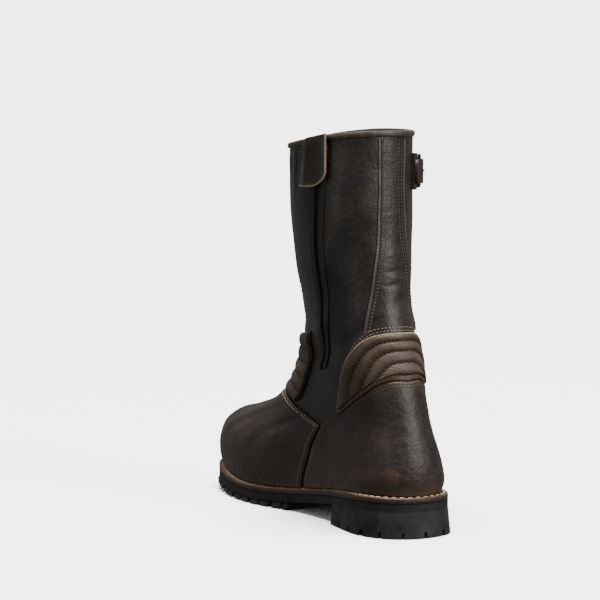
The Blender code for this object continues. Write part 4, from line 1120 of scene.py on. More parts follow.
# A stitch from end to end: share of its length, lift of its middle and swell, as shares of its radius
Stitch = namedtuple("Stitch", "share up swell")
STITCH = (
    Stitch(-0.50, -0.7, 0.5),
    Stitch(-0.40, 0.0, 0.9),
    Stitch(0.0, 0.42, 1.0),
    Stitch(0.40, 0.0, 0.9),
    Stitch(0.50, -0.7, 0.5),
)
STITCH_SIDES = 6
# Each needle hole's painted shade, a near-black body: its sides, width, depth and rise
HOLE_SIDES = 8
HOLE_WIDTH = 0.42 * MM
HOLE_DEPTH = 0.3 * MM
HOLE_RISE = 0.06 * MM

# How each seam is sewn: pitch, length and radius of a stitch, and its slant in degrees
Sewing = namedtuple("Sewing", "pitch length radius slant", defaults=(0.0,))
HEM_SEWING = Sewing(2.9 * MM, 2.1 * MM, 0.40 * MM)
PAD_SEWING = Sewing(3.0 * MM, 2.1 * MM, 0.38 * MM)
PAD_TOP_SEWING = Sewing(2.8 * MM, 1.8 * MM, 0.33 * MM)
INSTEP_SEWING = Sewing(3.4 * MM, 2.3 * MM, 0.28 * MM)
SEAM_SEWING = Sewing(2.7 * MM, 1.75 * MM, 0.33 * MM)
COLLAR_SEWING = Sewing(3.2 * MM, 2.2 * MM, 0.26 * MM)
COUNTER_SEWING = Sewing(2.9 * MM, 2.1 * MM, 0.28 * MM)
VAMP_TOP_SEWING = Sewing(3.2 * MM, 2.8 * MM, 0.30 * MM)
VAMP_SIDE_SEWING = Sewing(3.2 * MM, 2.5 * MM, 0.30 * MM)
WELT_SEWING = Sewing(6.2 * MM, 5.4 * MM, 0.80 * MM, 13.0)
FLAP_SEWING = Sewing(2.9 * MM, 2.2 * MM, 0.28 * MM)


def round_ring(sides):
    """Cosines and sines of points round a circle."""
    angles = np.arange(sides) * 2 * math.pi / sides
    return np.cos(angles), np.sin(angles)


def lumps(name, lines, finish, smooth=True):
    """Small closed bodies along lines, each line with its points, normals and shapes in turn.

    A shape is rings of points: along the line, across it, and out of the leather.
    """
    vertices = []
    faces = []
    for centre, normal, shapes in lines:
        along, across = path_frames(centre, normal)
        for i in range(len(centre)):
            rings = np.asarray(shapes[i % len(shapes)])
            rows, count = rings.shape[:2]
            start = len(vertices)
            vertices += list(centre[i] + rings.reshape(-1, 3) @ np.array([along[i], across[i], normal[i]]))
            faces += grid_faces(rows, count, start, wrap=True)
            faces.append(tuple(start + k for k in reversed(range(count))))
            faces.append(tuple(start + count * (rows - 1) + k for k in range(count)))
    return add_object(name, vertices, faces, finish, smooth)


def stitch_shape(sewing):
    """The rings of one stitch."""
    cosine, sine = round_ring(STITCH_SIDES)
    turn = math.radians(sewing.slant)
    rings = []
    for row in STITCH:
        run = sewing.length * row.share
        side = sewing.radius * row.swell * cosine
        out = sewing.radius * (row.up + row.swell * sine)
        along = run * math.cos(turn) - side * math.sin(turn)
        across = run * math.sin(turn) + side * math.cos(turn)
        rings.append(np.column_stack([along, across, out]))
    return rings


def stitches(name, rows, finish):
    """Rows of thread. Each row is (points, normals, sewing)."""
    lines = []
    for points, normals, sewing in rows:
        lines.append((*walk(points, normals, sewing.pitch), [stitch_shape(sewing)]))
    return lumps(name, lines, finish)


def pinholes(name, rows, finish):
    """Near-black bodies where the needle went in between the stitches: the painted shade of each needle hole.
    """
    cosine, sine = round_ring(HOLE_SIDES)
    lines = []
    for points, normals, sewing in rows:
        reach = (sewing.pitch - sewing.length) / 2
        rings = [
            np.column_stack([
                sewing.pitch / 2 + reach * grow * cosine,
                HOLE_WIDTH * grow * sine,
                np.full(HOLE_SIDES, out),
            ])
            for grow, out in ((1.0, -HOLE_DEPTH), (0.8, HOLE_RISE))
        ]
        lines.append((*walk(points, normals, sewing.pitch), [rings]))
    return lumps(name, lines, finish)


def leather_path(hoops, turns, lift):
    """Points and normals of a path on the creased leather."""
    return on_leather(hoops, turns, lift), upper_normal(hoops, turns)


def cord(name, points, normals, radius, sides, finish):
    """A round cord along a path."""
    across = path_frames(points, normals)[1]
    cosine, sine = round_ring(sides)
    sections = [
        point + radius * (np.outer(cosine, side) + np.outer(sine, out))
        for point, side, out in zip(points, across, normals)
    ]
    return bar(name, sections, finish)


# Pieces

FOOT_ROWS = 150
SHAFT_ROWS = 90
INSIDE_STEP = 4
RIM_STEP = 0.008
WORN_TURN = 38.0
WORN_SPREAD = 16.0
PAD_HEM = 4.4 * MM
PAD_EDGE = 1.6 * MM
PUCKER_PITCH = 4.6 * MM
PUCKER_DEPTH = 0.20 * MM
PIPING_RADIUS = 0.8 * MM
PIPING_SIDES = 10
INSTEP_TOP_HOOP = 8.7
INSTEP_FIRST_TURN = 105
BINDING_SINK = 0.3 * MM
BINDING_SIDES = 16
COLLAR_SEAM_DROP = 0.035
FLAP_CORD_RADIUS = 0.85 * MM
FLAP_CORD_SIDES = 8
TOOTH_PITCH = 1.5 * MM
TOOTH_LENGTH = 1.3 * MM


def fine_upper(leather, lining):
    turns = np.arange(AROUND_FINE) * 360 / AROUND_FINE
    foot = np.linspace(0, TWIST_START, FOOT_ROWS)
    shaft = np.append(np.linspace(TWIST_START, COLLAR_HOOP - RIM_STEP, SHAFT_ROWS)[1:], COLLAR_HOOP)
    hoops = np.concatenate([foot, shaft])
    loops = [on_leather(hoop, turns) for hoop in hoops]
    inside = [on_leather(hoop, turns, -WALL) for hoop in np.append(COLLAR_HOOP, hoops[-2::-INSIDE_STEP])]
    loops += inside
    for loop in (loops[0], loops[-1]):
        loop[:, 2] = seat(loop[:, 1]) + GAP
    piece = ring("upper_leather", loops, leather)
    piece.data.materials.append(lining)
    outer_count = len(hoops) * AROUND_FINE
    index = np.zeros(len(piece.data.polygons), np.int32)
    for face in piece.data.polygons:
        if min(face.vertices) >= outer_count - AROUND_FINE:
            index[face.index] = 1
    piece.data.polygons.foreach_set("material_index", index)
    points = np.concatenate(loops)
    around = np.tile(turns, len(loops))
    wear = np.clip(relief(points, around) / (0.4 * WALL), 0, 1) * 0.5
    wear += 0.32 * np.exp(-((around - WORN_TURN) / WORN_SPREAD) ** 2)
    paint(piece, "wear", wear)
    return keep(piece, "upper_leather", "upper")


def fine_counter(leather):
    up = np.linspace(0, 1, 80)[:, None]
    turns = np.linspace(-1, 1, 200) * counter_front(up)
    top = hoop_at(turns, edge_heights(COUNTER_TOP, turns))
    hoops = PANEL_FOOT + (top - PANEL_FOOT) * up
    piece = fine_panel("heel_counter_leather", hoops, turns, PANEL, leather, reach=3.4 * MM)
    return keep(piece, "counter_leather", "heel_counter")


def fine_vamp(leather):
    up = np.linspace(0, 1, 110)[:, None]
    turns = 180 + np.linspace(-1, 1, 300) * (180 - PANEL_SPLIT - counter_front(up))
    from_back = np.minimum(turns, 360 - turns)
    top = hoop_at(turns, edge_heights(VAMP_TOP, from_back))
    hoops = PANEL_FOOT + (top - PANEL_FOOT) * up
    return keep(fine_panel("vamp_leather", hoops, turns, PANEL, leather), "vamp_leather", "vamp")


def quilted(name, hoops, turns, share, ribs, finish):
    """Ribs between sewn valleys, puckered where the thread pulls."""
    points = on_upper(hoops, turns)
    run = steps(points, 1)
    wave = np.abs(np.sin(math.pi * ribs * share)) + np.zeros_like(run)
    pucker = np.sin(run * 2 * math.pi / PUCKER_PITCH + 2.5 * np.sin(run * 90)) * np.exp(-wave * 3.2)
    body = PAD_VALLEY + (PAD_THICK - PAD_VALLEY) * 0.9 * wave ** 0.5 + PUCKER_DEPTH * pucker
    distance = edge_distance(points)
    t = np.clip(distance / PAD_EDGE, 0, 1)
    lift = PANEL_GAP + body * (0.35 + 0.65 * np.sqrt(1 - (1 - t) ** 2))
    wear = np.clip(0.30 + 0.55 * wave ** 2 - 0.5 * np.exp(-wave * 5), 0, 1)
    outer = on_leather(hoops, turns, lift)
    return fine_shell(name, outer, on_leather(hoops, turns, PANEL_GAP), finish, wear)


def fine_hem(leather, thread):
    """The flat band between the quilting and the counter, with its row of thread."""
    turns = np.linspace(-1, 1, 300) * (PAD_TOP[-1].turn + 1.2)
    up = np.linspace(0, 1, 10)[:, None]
    low = edge_heights(COUNTER_TOP, turns) + PAD_SPLIT * 0.5
    hoops = hoop_at(turns, low + (PAD_HEM + 0.4 * MM - PAD_SPLIT * 0.5) * up)
    turns = np.broadcast_to(turns, hoops.shape)
    points = on_upper(hoops, turns)
    distance = edge_distance(points)
    lift = PANEL_GAP + rounded(distance, PAD_VALLEY, 0.9 * MM)
    wear = 0.45 + 0.5 * np.exp(-distance / (0.8 * MM))
    outer = on_leather(hoops, turns, lift)
    keep(fine_shell("ankle_pad_hem", outer, on_leather(hoops, turns, 0.2 * MM), leather, wear), "pad_leather")
    row = (*leather_path(hoops[5], turns[5], PANEL_GAP + PAD_VALLEY), HEM_SEWING)
    keep(stitches("ankle_pad_hem_stitches", [row], thread), "pad_leather")


def fine_ankle_pad(leather, hem, thread, pale, painted_shade):
    along = np.linspace(0, 1, 260)
    rows = np.linspace(0, 1, 90)
    hoops, turns = pad_grid(along, rows, PAD_HEM)
    pad = quilted("ankle_pad_leather", hoops, turns, rows[:, None], PAD_RIBS, leather)
    keep(pad, "pad_leather", "ankle_pad")
    fine_hem(hem, thread)
    top = leather_path(hoops[0], turns[0], PANEL_GAP + 1.5 * MM)
    keep(cord("ankle_pad_piping", *top, PIPING_RADIUS, PIPING_SIDES, pale), "pad_leather")
    seams = []
    for rib in range(1, PAD_RIBS):
        sewn, sewn_turns = pad_grid(along, np.full(1, rib / PAD_RIBS), PAD_HEM)
        valley = PANEL_GAP + PAD_VALLEY + 0.25 * MM
        seams.append((*leather_path(sewn[0], sewn_turns[0], valley), PAD_SEWING))
    keep(stitches("ankle_pad_stitches", seams, thread), "pad_leather")
    rows = []
    inner = slice(30, -30)
    for reach in (2.6, 5.0):
        above = hoop_at(turns[0], on_upper(hoops[0], turns[0])[:, 2] + reach * MM)
        rows.append((*leather_path(above[inner], turns[0][inner], 0.12 * MM), PAD_TOP_SEWING))
    keep(stitches("ankle_pad_top_stitches", rows, pale), "pad_leather")
    keep(pinholes("ankle_pad_holes", rows, painted_shade), "pad_leather")


def fine_instep_pad(leather, thread):
    turns = np.linspace(INSTEP_FIRST_TURN, 360 - INSTEP_FIRST_TURN, 150)
    from_back = np.minimum(turns, 360 - turns)
    foot = hoop_at(turns, edge_heights(VAMP_TOP, from_back) + 2.4 * MM)
    rows = np.linspace(0, 1, 110)[:, None]
    hoops = foot + (INSTEP_TOP_HOOP - foot) * rows
    turns = np.broadcast_to(turns, hoops.shape)
    pad = quilted("instep_pad_leather", hoops, turns, rows, INSTEP_RIBS, leather)
    keep(pad, "instep_leather", "instep_pad")
    seams = []
    for rib in range(1, INSTEP_RIBS):
        row = foot + (INSTEP_TOP_HOOP - foot) * rib / INSTEP_RIBS
        seams.append((*leather_path(row, turns[0], PANEL_GAP + PAD_VALLEY), INSTEP_SEWING))
    keep(stitches("instep_pad_stitches", seams, thread), "instep_leather")


def turn_reach(hoops, turns):
    """The length along the hoop of one degree of turn."""
    return np.linalg.norm(on_upper(hoops, turns + 0.5) - on_upper(hoops, turns - 0.5), axis=-1)


def seam_path(column, count=220):
    heights = np.linspace(SEAM_ROWS[-1].height, SEAM_ROWS[0].height, count)
    ordered = SEAM_ROWS[::-1]
    keys = [row.height for row in ordered]
    turns = smooth_through(keys, [getattr(row, column) for row in ordered], heights)
    return hoop_at(turns, heights * BACK_HEIGHT), turns


def leather_ribbon(name, hoops, turns, width, section, finish, low):
    """A strip along a path on the creased leather. section has rows of (share across, height)."""
    reach = turn_reach(hoops, turns)
    lines = [on_leather(hoops, turns + share * width / reach, low + height) for share, height in section]
    return bar(name, list(np.stack(lines, 1)), finish)


# The raised seam from edge to edge: share across, height in shares of SEAM_THICK, and wear, the share of the
# worn colour, which here is a painted highlight along the ridge
SeamPoint = namedtuple("SeamPoint", "across height wear")
SEAM_SECTION = (
    SeamPoint(0.5, -0.3, 0.1),
    SeamPoint(0.49, 0.45, 0.5),
    SeamPoint(0.40, 0.85, 0.9),
    SeamPoint(0.25, 1.0, 1.0),
    SeamPoint(0.05, 0.95, 0.75),
    SeamPoint(-0.20, 0.70, 0.35),
    SeamPoint(-0.40, 0.30, 0.1),
    SeamPoint(-0.5, -0.3, 0.1),
)
# A near-black strip beside each back seam, the painted shadow of the seam's step: its width and its section
# of (share across, height)
SEAM_SHADOW_WIDTH = 0.9 * MM
SEAM_SHADOW_SECTION = ((0.5, -0.4 * MM), (0.5, 0.12 * MM), (-0.5, 0.12 * MM), (-0.5, -0.4 * MM))


def fine_back_seam(column, side, leather, thread, painted_shade):
    slot = column + "_seam_leather"
    name = column + "_back_seam"
    hoops, turns = seam_path(column)
    reach = turn_reach(hoops, turns)
    section = [(row.across * side, row.height * SEAM_THICK) for row in SEAM_SECTION]
    strip = leather_ribbon(name + "_leather", hoops, turns, SEAM_WIDTH * 0.62, section, leather, GAP * 0.2)
    # The worn colour along the seam's ridge is a painted highlight, stronger on the inner seam than on the
    # outer one.
    crest_highlight = [row.wear for row in SEAM_SECTION]
    paint(strip, "wear", np.tile(crest_highlight, len(hoops)) * (0.8 if side < 0 else 0.25))
    keep(strip, slot, name)
    # The strip laid along this path is the painted shadow of the seam's step, not a colour of the leather.
    groove = turns - SEAM_WIDTH * 0.40 * side / reach
    line = leather_ribbon(name + "_groove", hoops, groove, SEAM_SHADOW_WIDTH, SEAM_SHADOW_SECTION, painted_shade, 0)
    keep(line, slot)
    near = SEAM_WIDTH / 2 + 0.9 * MM
    far = near + (0.6 + 2.6 * ease((np.linspace(0, 1, len(hoops)) - 0.05) / 0.5)) * MM
    rows = []
    for offset in (near, far):
        beside = turns - offset * side / reach
        rows.append((*leather_path(hoops, beside, 0.1 * MM), SEAM_SEWING))
    keep(stitches(name + "_stitches", rows, thread), slot)
    keep(pinholes(name + "_holes", rows, painted_shade), slot)


def fine_collar(leather, thread):
    turns = np.arange(AROUND_FINE) * 360 / AROUND_FINE
    rim = on_leather(np.full(AROUND_FINE, float(COLLAR_HOOP)), turns, -WALL / 2)
    outwards = upper_normal(np.full(AROUND_FINE, float(COLLAR_HOOP)), turns)
    outwards[:, 2] = 0
    outwards /= np.linalg.norm(outwards, axis=-1, keepdims=True)
    run = np.radians(turns)
    puckers = 1 + 0.05 * np.sin(31 * run + np.sin(5 * run)) + 0.04 * np.sin(53 * run + 2 * np.sin(3 * run))
    half_width = (WALL / 2 + COLLAR_OUT) * puckers
    loops = []
    for i in range(BINDING_SIDES):
        angle = i * 2 * math.pi / BINDING_SIDES
        squash = 1 / max(abs(math.cos(angle)) ** 3 + abs(math.sin(angle)) ** 3, 1e-6) ** (1 / 3)
        side = math.cos(angle) * squash * half_width
        up = (1 + math.sin(angle) * squash) * COLLAR_ROLL / 2
        loops.append(rim + outwards * side[:, None] + np.array([0, 0, up - BINDING_SINK]))
    piece = ring("collar_binding_leather", loops, leather)
    paint(piece, "wear", np.full(len(piece.data.vertices), 0.45))
    keep(piece, "binding_leather", "collar_binding")
    closed = np.append(turns, 360.0)
    level = np.full(len(closed), COLLAR_HOOP - COLLAR_SEAM_DROP)
    row = (*leather_path(level, closed, 0.0), COLLAR_SEWING)
    keep(stitches("collar_stitches", [row], thread), "binding_leather")


def edge_stitches(pale, dark, painted_shade):
    """Thread along the edges of the counter and the vamp."""
    share = np.linspace(-1, 1, 260)
    rows = []
    for inset in (1.9 * MM, 4.1 * MM):
        turns = share * (COUNTER_CORNER - 3)
        hoops = hoop_at(turns, edge_heights(COUNTER_TOP, turns) - inset)
        rows.append((*leather_path(hoops, turns, PANEL_GAP + PANEL), COUNTER_SEWING))
    keep(stitches("heel_counter_stitches", rows, dark), "counter_leather")
    keep(pinholes("heel_counter_holes", rows, painted_shade), "counter_leather")
    rows = []
    from_back = np.linspace(COUNTER_CORNER + 2.5, 180, 240)
    for side in (1, -1):
        turns = side * from_back
        hoops = hoop_at(turns, edge_heights(VAMP_TOP, from_back) - 2.0 * MM)
        rows.append((*leather_path(hoops, turns, PANEL_GAP + PANEL), VAMP_TOP_SEWING))
        up = np.linspace(0.05, 0.96, 90)
        turns = side * (counter_front(up) + 3.0)
        top = hoop_at(turns, edge_heights(VAMP_TOP, np.abs(turns)))
        hoops = PANEL_FOOT + (top - PANEL_FOOT) * up
        rows.append((*leather_path(hoops, turns, PANEL_GAP + PANEL), VAMP_SIDE_SEWING))
    keep(stitches("vamp_stitches", rows, pale), "vamp_leather")


# The welt's section from its inner edge out: inset in mm, height in shares of WELT_THICK
WeltPoint = namedtuple("WeltPoint", "inset height")
WELT_SECTION = (
    WeltPoint(0.0, -1.0),
    WeltPoint(-0.45, -0.85),
    WeltPoint(-0.5, -0.5),
    WeltPoint(-0.35, -0.12),
    WeltPoint(0.3, 0.0),
    WeltPoint(1.9, 0.02),
    WeltPoint(2.3, -0.10),
    WeltPoint(2.9, -0.16),
    WeltPoint(3.5, -0.10),
    WeltPoint(3.9, 0.0),
    WeltPoint(7.5, 0.0),
    WeltPoint(7.5, -1.0),
)
WELT_SEAM_INSET = 3.0 * MM


def fine_welt(leather, thread):
    angles = np.arange(360) * math.pi / 180
    loops = []
    for row in WELT_SECTION:
        edge = plan_loop(angles, WELT_INSET + row.inset * MM)
        loops.append(with_height(edge, lambda y, row=row: seat(y) + row.height * WELT_THICK))
    piece = ring("welt_leather", loops, leather)
    wear = [np.full(len(angles), 0.9 if row.height > -0.3 else 0.35) for row in WELT_SECTION]
    paint(piece, "wear", np.concatenate(wear))
    keep(piece, "welt_leather", "welt")
    around = plan_loop(np.linspace(0, 2 * math.pi, 900), WELT_INSET + WELT_SEAM_INSET)
    points = with_height(around, lambda y: seat(y) - 0.10 * WELT_THICK)
    normals = np.tile([0.0, 0.0, 1.0], (len(points), 1))
    keep(stitches("welt_stitches", [(points, normals, WELT_SEWING)], thread), "welt_leather")


def bake(piece):
    """The shape after its booleans, as a plain mesh, with its cutters taken away."""
    cutters = [step.object for step in piece.modifiers]
    inner = [step.object for cutter in cutters for step in cutter.modifiers]
    graph = bpy.context.evaluated_depsgraph_get()
    mesh = bpy.data.meshes.new_from_object(piece.evaluated_get(graph))
    piece.modifiers.clear()
    piece.data = mesh
    for cutter in cutters + inner:
        bpy.data.objects.remove(cutter, do_unlink=True)
    mesh.shade_smooth()
    mesh.set_sharp_from_angle(angle=math.radians(32))
    return piece


def close_up(heel):
    """The heel block carried up to the sheet that it is bonded to."""
    for corner in heel.data.vertices:
        top = float(sheet_under(corner.co.y)) - GAP
        if corner.co.z > top - 0.2 * MM:
            corner.co.z = top + 1.2 * GAP
    return heel


def soften(piece, width):
    """A small bevel on the sharp edges, so that they catch the light."""
    step = piece.modifiers.new("soft_edges", "BEVEL")
    step.width = width
    step.segments = 2
    step.limit_method = "ANGLE"
    step.angle_limit = math.radians(50)
    step.use_clamp_overlap = True
    return piece


def fine_insole(leather):
    edge = plan_loop(sole_angles(), UPPER_INSET + WALL + INSOLE_CLEAR)
    loops = [with_height(edge, welt_under), with_height(edge, lambda y: welt_under(y) + INSOLE_THICK)]
    piece = plank("insole_board", loops, leather)
    paint(piece, "wear", np.full(len(piece.data.vertices), 0.2))
    return keep(soften(piece, 1 * MM), "insole_leather", "insole")


# The side view of a tooth: share of its reach across the chain, and of its rise
TOOTH = ((-0.35, 0), (1.0, 0), (1.0, 0.7), (0.5, 1.0), (-0.35, 1.0))


def fine_zip(cloth, metal):
    hoops, turns = zip_path(ZIP_ROWS[0].height * SIDE_HEIGHT, ZIP_ROWS[-1].height * SIDE_HEIGHT, 160)
    half = [(0.10, 0), (0.30, 0), (0.5, 0), (0.5, 0.8), (0.30, 1.0), (0.10, 1.0), (0.07, 0.7)]
    section = [(share, height * ZIP_TAPE) for share, height in half]
    section += [(-share, height) for share, height in reversed(section)]
    keep(leather_ribbon("zip_tape", hoops, turns, ZIP_WIDTH, section, cloth, GAP), "zip_cloth", "zip")
    middle = walk(*leather_path(hoops, turns, GAP + ZIP_TAPE * 0.9), TOOTH_PITCH)
    reach = ZIP_CHAIN_WIDTH / 2 * 0.9
    rise = ZIP_CHAIN - ZIP_TAPE
    teeth = []
    for side in (-1, 1):
        face = [(side * share * reach, up * rise) for share, up in TOOTH]
        teeth.append([[(run * TOOTH_LENGTH, *point) for point in face] for run in (-0.42, 0.42)])
    keep(lumps("zip_teeth", [(*middle, teeth)], metal, smooth=False), "zip_cloth")


def fine_flap(leather, pale):
    share = np.linspace(0, 1, 90)[None, :]
    up = np.linspace(0, 1, 80)[:, None]
    turns, heights, low = flap_grid(share, up)
    points = on_shaft(turns, heights, low)
    distance = edge_distance(points)
    outer = on_shaft(turns, heights, low + rounded(distance, FLAP_THICK, 1.2 * MM))
    wear = np.exp(-distance / (2.2 * MM)) * 0.9
    keep(fine_shell("zip_flap_leather", outer, points, leather, wear), "flap_leather", "zip_flap")
    rim_share = np.concatenate([np.linspace(0, 1, 160), np.ones(120)])
    rim_up = np.concatenate([np.zeros(160), np.linspace(0, 1, 120)])
    turns, heights, low = flap_grid(rim_share, rim_up)
    points = on_shaft(turns, heights, low + FLAP_THICK * 0.55)
    normals = upper_normal(hoop_at(turns, heights), turns)
    keep(cord("zip_flap_binding", points, normals, FLAP_CORD_RADIUS, FLAP_CORD_SIDES, pale), "flap_leather")
    turns, heights, low = flap_grid(np.full(90, 0.06), np.linspace(0.02, 0.98, 90))
    points = on_shaft(turns, heights, low + FLAP_THICK)
    normals = upper_normal(hoop_at(turns, heights), turns)
    keep(stitches("zip_flap_stitches", [(points, normals, FLAP_SEWING)], pale), "flap_leather")


def take_piece(piece, slot, node, name, wear=None, bevel=None):
    """A piece made by the part's own function, finished here."""
    if piece.modifiers:
        bake(piece)
    piece.name = name
    piece.data.name = name
    if wear is not None:
        paint(piece, "wear", np.full(len(piece.data.vertices), wear))
    if bevel:
        soften(piece, bevel)
    return keep(piece, slot, node)


# Materials

def nodes_of(name):
    made = bpy.data.materials.new(name)
    made.use_nodes = True
    tree = made.node_tree
    shader = tree.nodes["Principled BSDF"]
    coords = tree.nodes.new("ShaderNodeTexCoord")
    return made, tree, shader, coords.outputs["Object"]


def noise(tree, coords, scale, detail=4.0, roughness=0.55):
    node = tree.nodes.new("ShaderNodeTexNoise")
    node.inputs["Scale"].default_value = scale
    node.inputs["Detail"].default_value = detail
    node.inputs["Roughness"].default_value = roughness
    tree.links.new(coords, node.inputs["Vector"])
    return node.outputs["Fac"]


def ramp(tree, value, stops):
    """Colours or greys at positions of a value."""
    node = tree.nodes.new("ShaderNodeValToRGB")
    while len(node.color_ramp.elements) < len(stops):
        node.color_ramp.elements.new(0.5)
    for element, (position, colour) in zip(node.color_ramp.elements, stops):
        element.position = position
        element.color = (*colour, 1.0) if isinstance(colour, tuple) else (colour,) * 3 + (1.0,)
    tree.links.new(value, node.inputs["Fac"])
    return node.outputs["Color"]


def mix(tree, factor, first, second):
    node = tree.nodes.new("ShaderNodeMix")
    node.data_type = "RGBA"
    for name, value in (("Factor", factor), ("A", first), ("B", second)):
        socket = node.inputs[name]
        if isinstance(value, tuple):
            socket.default_value = (*value, 1.0)
        elif isinstance(value, float):
            socket.default_value = value
        else:
            tree.links.new(value, socket)
    return node.outputs["Result"]


def maths(tree, operation, first, second):
    node = tree.nodes.new("ShaderNodeMath")
    node.operation = operation
    for socket, value in zip(node.inputs, (first, second)):
        if isinstance(value, float):
            socket.default_value = value
        else:
            tree.links.new(value, socket)
    return node.outputs["Value"]


def bump(tree, shader, layers):
    """Bumps stacked from (height, strength, distance in metres)."""
    last = None
    for height, strength, distance in layers:
        node = tree.nodes.new("ShaderNodeBump")
        node.inputs["Strength"].default_value = strength
        node.inputs["Distance"].default_value = distance
        tree.links.new(height, node.inputs["Height"])
        if last:
            tree.links.new(last, node.inputs["Normal"])
        last = node.outputs["Normal"]
    tree.links.new(last, shader.inputs["Normal"])


def leather(name, dark, mid, worn, roughness, patches, grain, spot=None):
    """Oiled leather: slow patches of colour, worn edges, fine grain; on the back seams the worn colour is a
    painted highlight.
    """
    made, tree, shader, coords = nodes_of(name)
    slow = noise(tree, coords, patches, 5.0, 0.6)
    fine = noise(tree, coords, patches * 9, 4.0, 0.7)
    both = maths(tree, "ADD", maths(tree, "MULTIPLY", slow, 0.75), maths(tree, "MULTIPLY", fine, 0.25))
    body = ramp(tree, both, ((0.36, dark), (0.66, mid)))
    # The wear attribute mixes in the worn colour: wear on most pieces, a painted highlight on the back seams.
    wear = tree.nodes.new("ShaderNodeAttribute")
    wear.attribute_name = "wear"
    uneven = ramp(tree, noise(tree, coords, 90.0, 5.0), ((0.30, 0.35), (0.65, 1.0)))
    rubbed_and_highlit = maths(tree, "MULTIPLY", wear.outputs["Fac"], uneven)
    body = mix(tree, rubbed_and_highlit, body, worn)
    if spot:
        apart = tree.nodes.new("ShaderNodeVectorMath")
        apart.operation = "DISTANCE"
        tree.links.new(coords, apart.inputs[0])
        apart.inputs[1].default_value = spot.place
        rough_edge = maths(tree, "ADD", apart.outputs["Value"], maths(tree, "MULTIPLY", fine, -0.008))
        body = mix(tree, ramp(tree, rough_edge, ((0.0, 0.42), (spot.size, 0.0))), body, spot.colour)
    tree.links.new(body, shader.inputs["Base Color"])
    gloss = ramp(tree, fine, ((0.30, roughness - 0.07), (0.70, roughness + 0.10)))
    tree.links.new(gloss, shader.inputs["Roughness"])
    shader.inputs["Specular IOR Level"].default_value = 0.30
    cells = tree.nodes.new("ShaderNodeTexVoronoi")
    cells.inputs["Scale"].default_value = 900.0
    tree.links.new(coords, cells.inputs["Vector"])
    layers = [
        (noise(tree, coords, 60.0, 3.0), 0.45, 0.0018),
        (noise(tree, coords, 210.0, 5.0, 0.65), 0.55 * grain, 0.0009),
        (cells.outputs["Distance"], 0.30 * grain, 0.0003),
    ]
    bump(tree, shader, layers)
    return made


def rubber_finish(name, dark, light, roughness=0.62):
    made, tree, shader, coords = nodes_of(name)
    shader.inputs["Specular IOR Level"].default_value = 0.22
    dust = noise(tree, coords, 40.0, 6.0, 0.7)
    tree.links.new(ramp(tree, dust, ((0.35, dark), (0.70, light))), shader.inputs["Base Color"])
    gloss = ramp(tree, dust, ((0.30, roughness - 0.05), (0.70, roughness + 0.12)))
    tree.links.new(gloss, shader.inputs["Roughness"])
    fine = (noise(tree, coords, 500.0, 4.0), 0.25, 0.0003)
    bump(tree, shader, [fine, (noise(tree, coords, 70.0, 3.0), 0.15, 0.0012)])
    return made


def thread_finish(name, colour):
    made, tree, shader, coords = nodes_of(name)
    fray = noise(tree, coords, 700.0, 3.0)
    darker = tuple(v * 0.6 for v in colour)
    tree.links.new(ramp(tree, fray, ((0.3, darker), (0.7, colour))), shader.inputs["Base Color"])
    shader.inputs["Roughness"].default_value = 0.8
    bump(tree, shader, [(noise(tree, coords, 1500.0, 2.0), 0.5, 0.0002)])
    return made


def metal_finish(name, dark, light, roughness=0.34):
    made, tree, shader, coords = nodes_of(name)
    tarnish = noise(tree, coords, 220.0, 5.0, 0.65)
    tree.links.new(ramp(tree, tarnish, ((0.35, dark), (0.70, light))), shader.inputs["Base Color"])
    gloss = ramp(tree, tarnish, ((0.30, roughness - 0.06), (0.75, roughness + 0.16)))
    tree.links.new(gloss, shader.inputs["Roughness"])
    shader.inputs["Metallic"].default_value = 1.0
    bump(tree, shader, [(noise(tree, coords, 900.0, 3.0), 0.2, 0.0002)])
    return made


# Camera, light and floor

CAMERA_AZIMUTH = 31.0
CAMERA_RANGE = 1.700
CAMERA_HEIGHT = 0.318
CAMERA_YAW = 2.47
CAMERA_PITCH = 4.81
FOCAL_PIXELS = 2260
FRAME_PIXELS = 600
SENSOR_WIDTH = 36
BACKDROP = 4.6
FILL = 0.30
OVERHEAD = 15.0
OVERHEAD_ANGLE = 0.55
KEY = 40.0
SIDE = 5.0
FLOOR_REACH = 60.0
GROUND = 0.0003


def make_camera():
    turn = math.radians(CAMERA_AZIMUTH)
    camera = bpy.data.objects.new("camera", bpy.data.cameras.new("camera"))
    camera.data.sensor_width = SENSOR_WIDTH
    camera.data.lens = FOCAL_PIXELS / FRAME_PIXELS * SENSOR_WIDTH
    camera.data.clip_start = 0.05
    camera.data.clip_end = 60
    camera.location = (-CAMERA_RANGE * math.sin(turn), -CAMERA_RANGE * math.cos(turn), CAMERA_HEIGHT)
    heading = turn - math.radians(CAMERA_YAW)
    pitch = math.radians(CAMERA_PITCH)
    camera.rotation_euler = (math.pi / 2 - pitch, 0, -heading)
    bpy.context.scene.collection.objects.link(camera)
    bpy.context.scene.camera = camera


def soft_light(name, where, target, size, power):
    lamp = bpy.data.lights.new(name, "AREA")
    lamp.shape = "RECTANGLE"
    lamp.size, lamp.size_y = size
    lamp.energy = power
    made = bpy.data.objects.new(name, lamp)
    made.location = where
    made.rotation_mode = "QUATERNION"
    made.rotation_quaternion = (Vector(target) - Vector(where)).to_track_quat("-Z", "Y")
    bpy.context.scene.collection.objects.link(made)


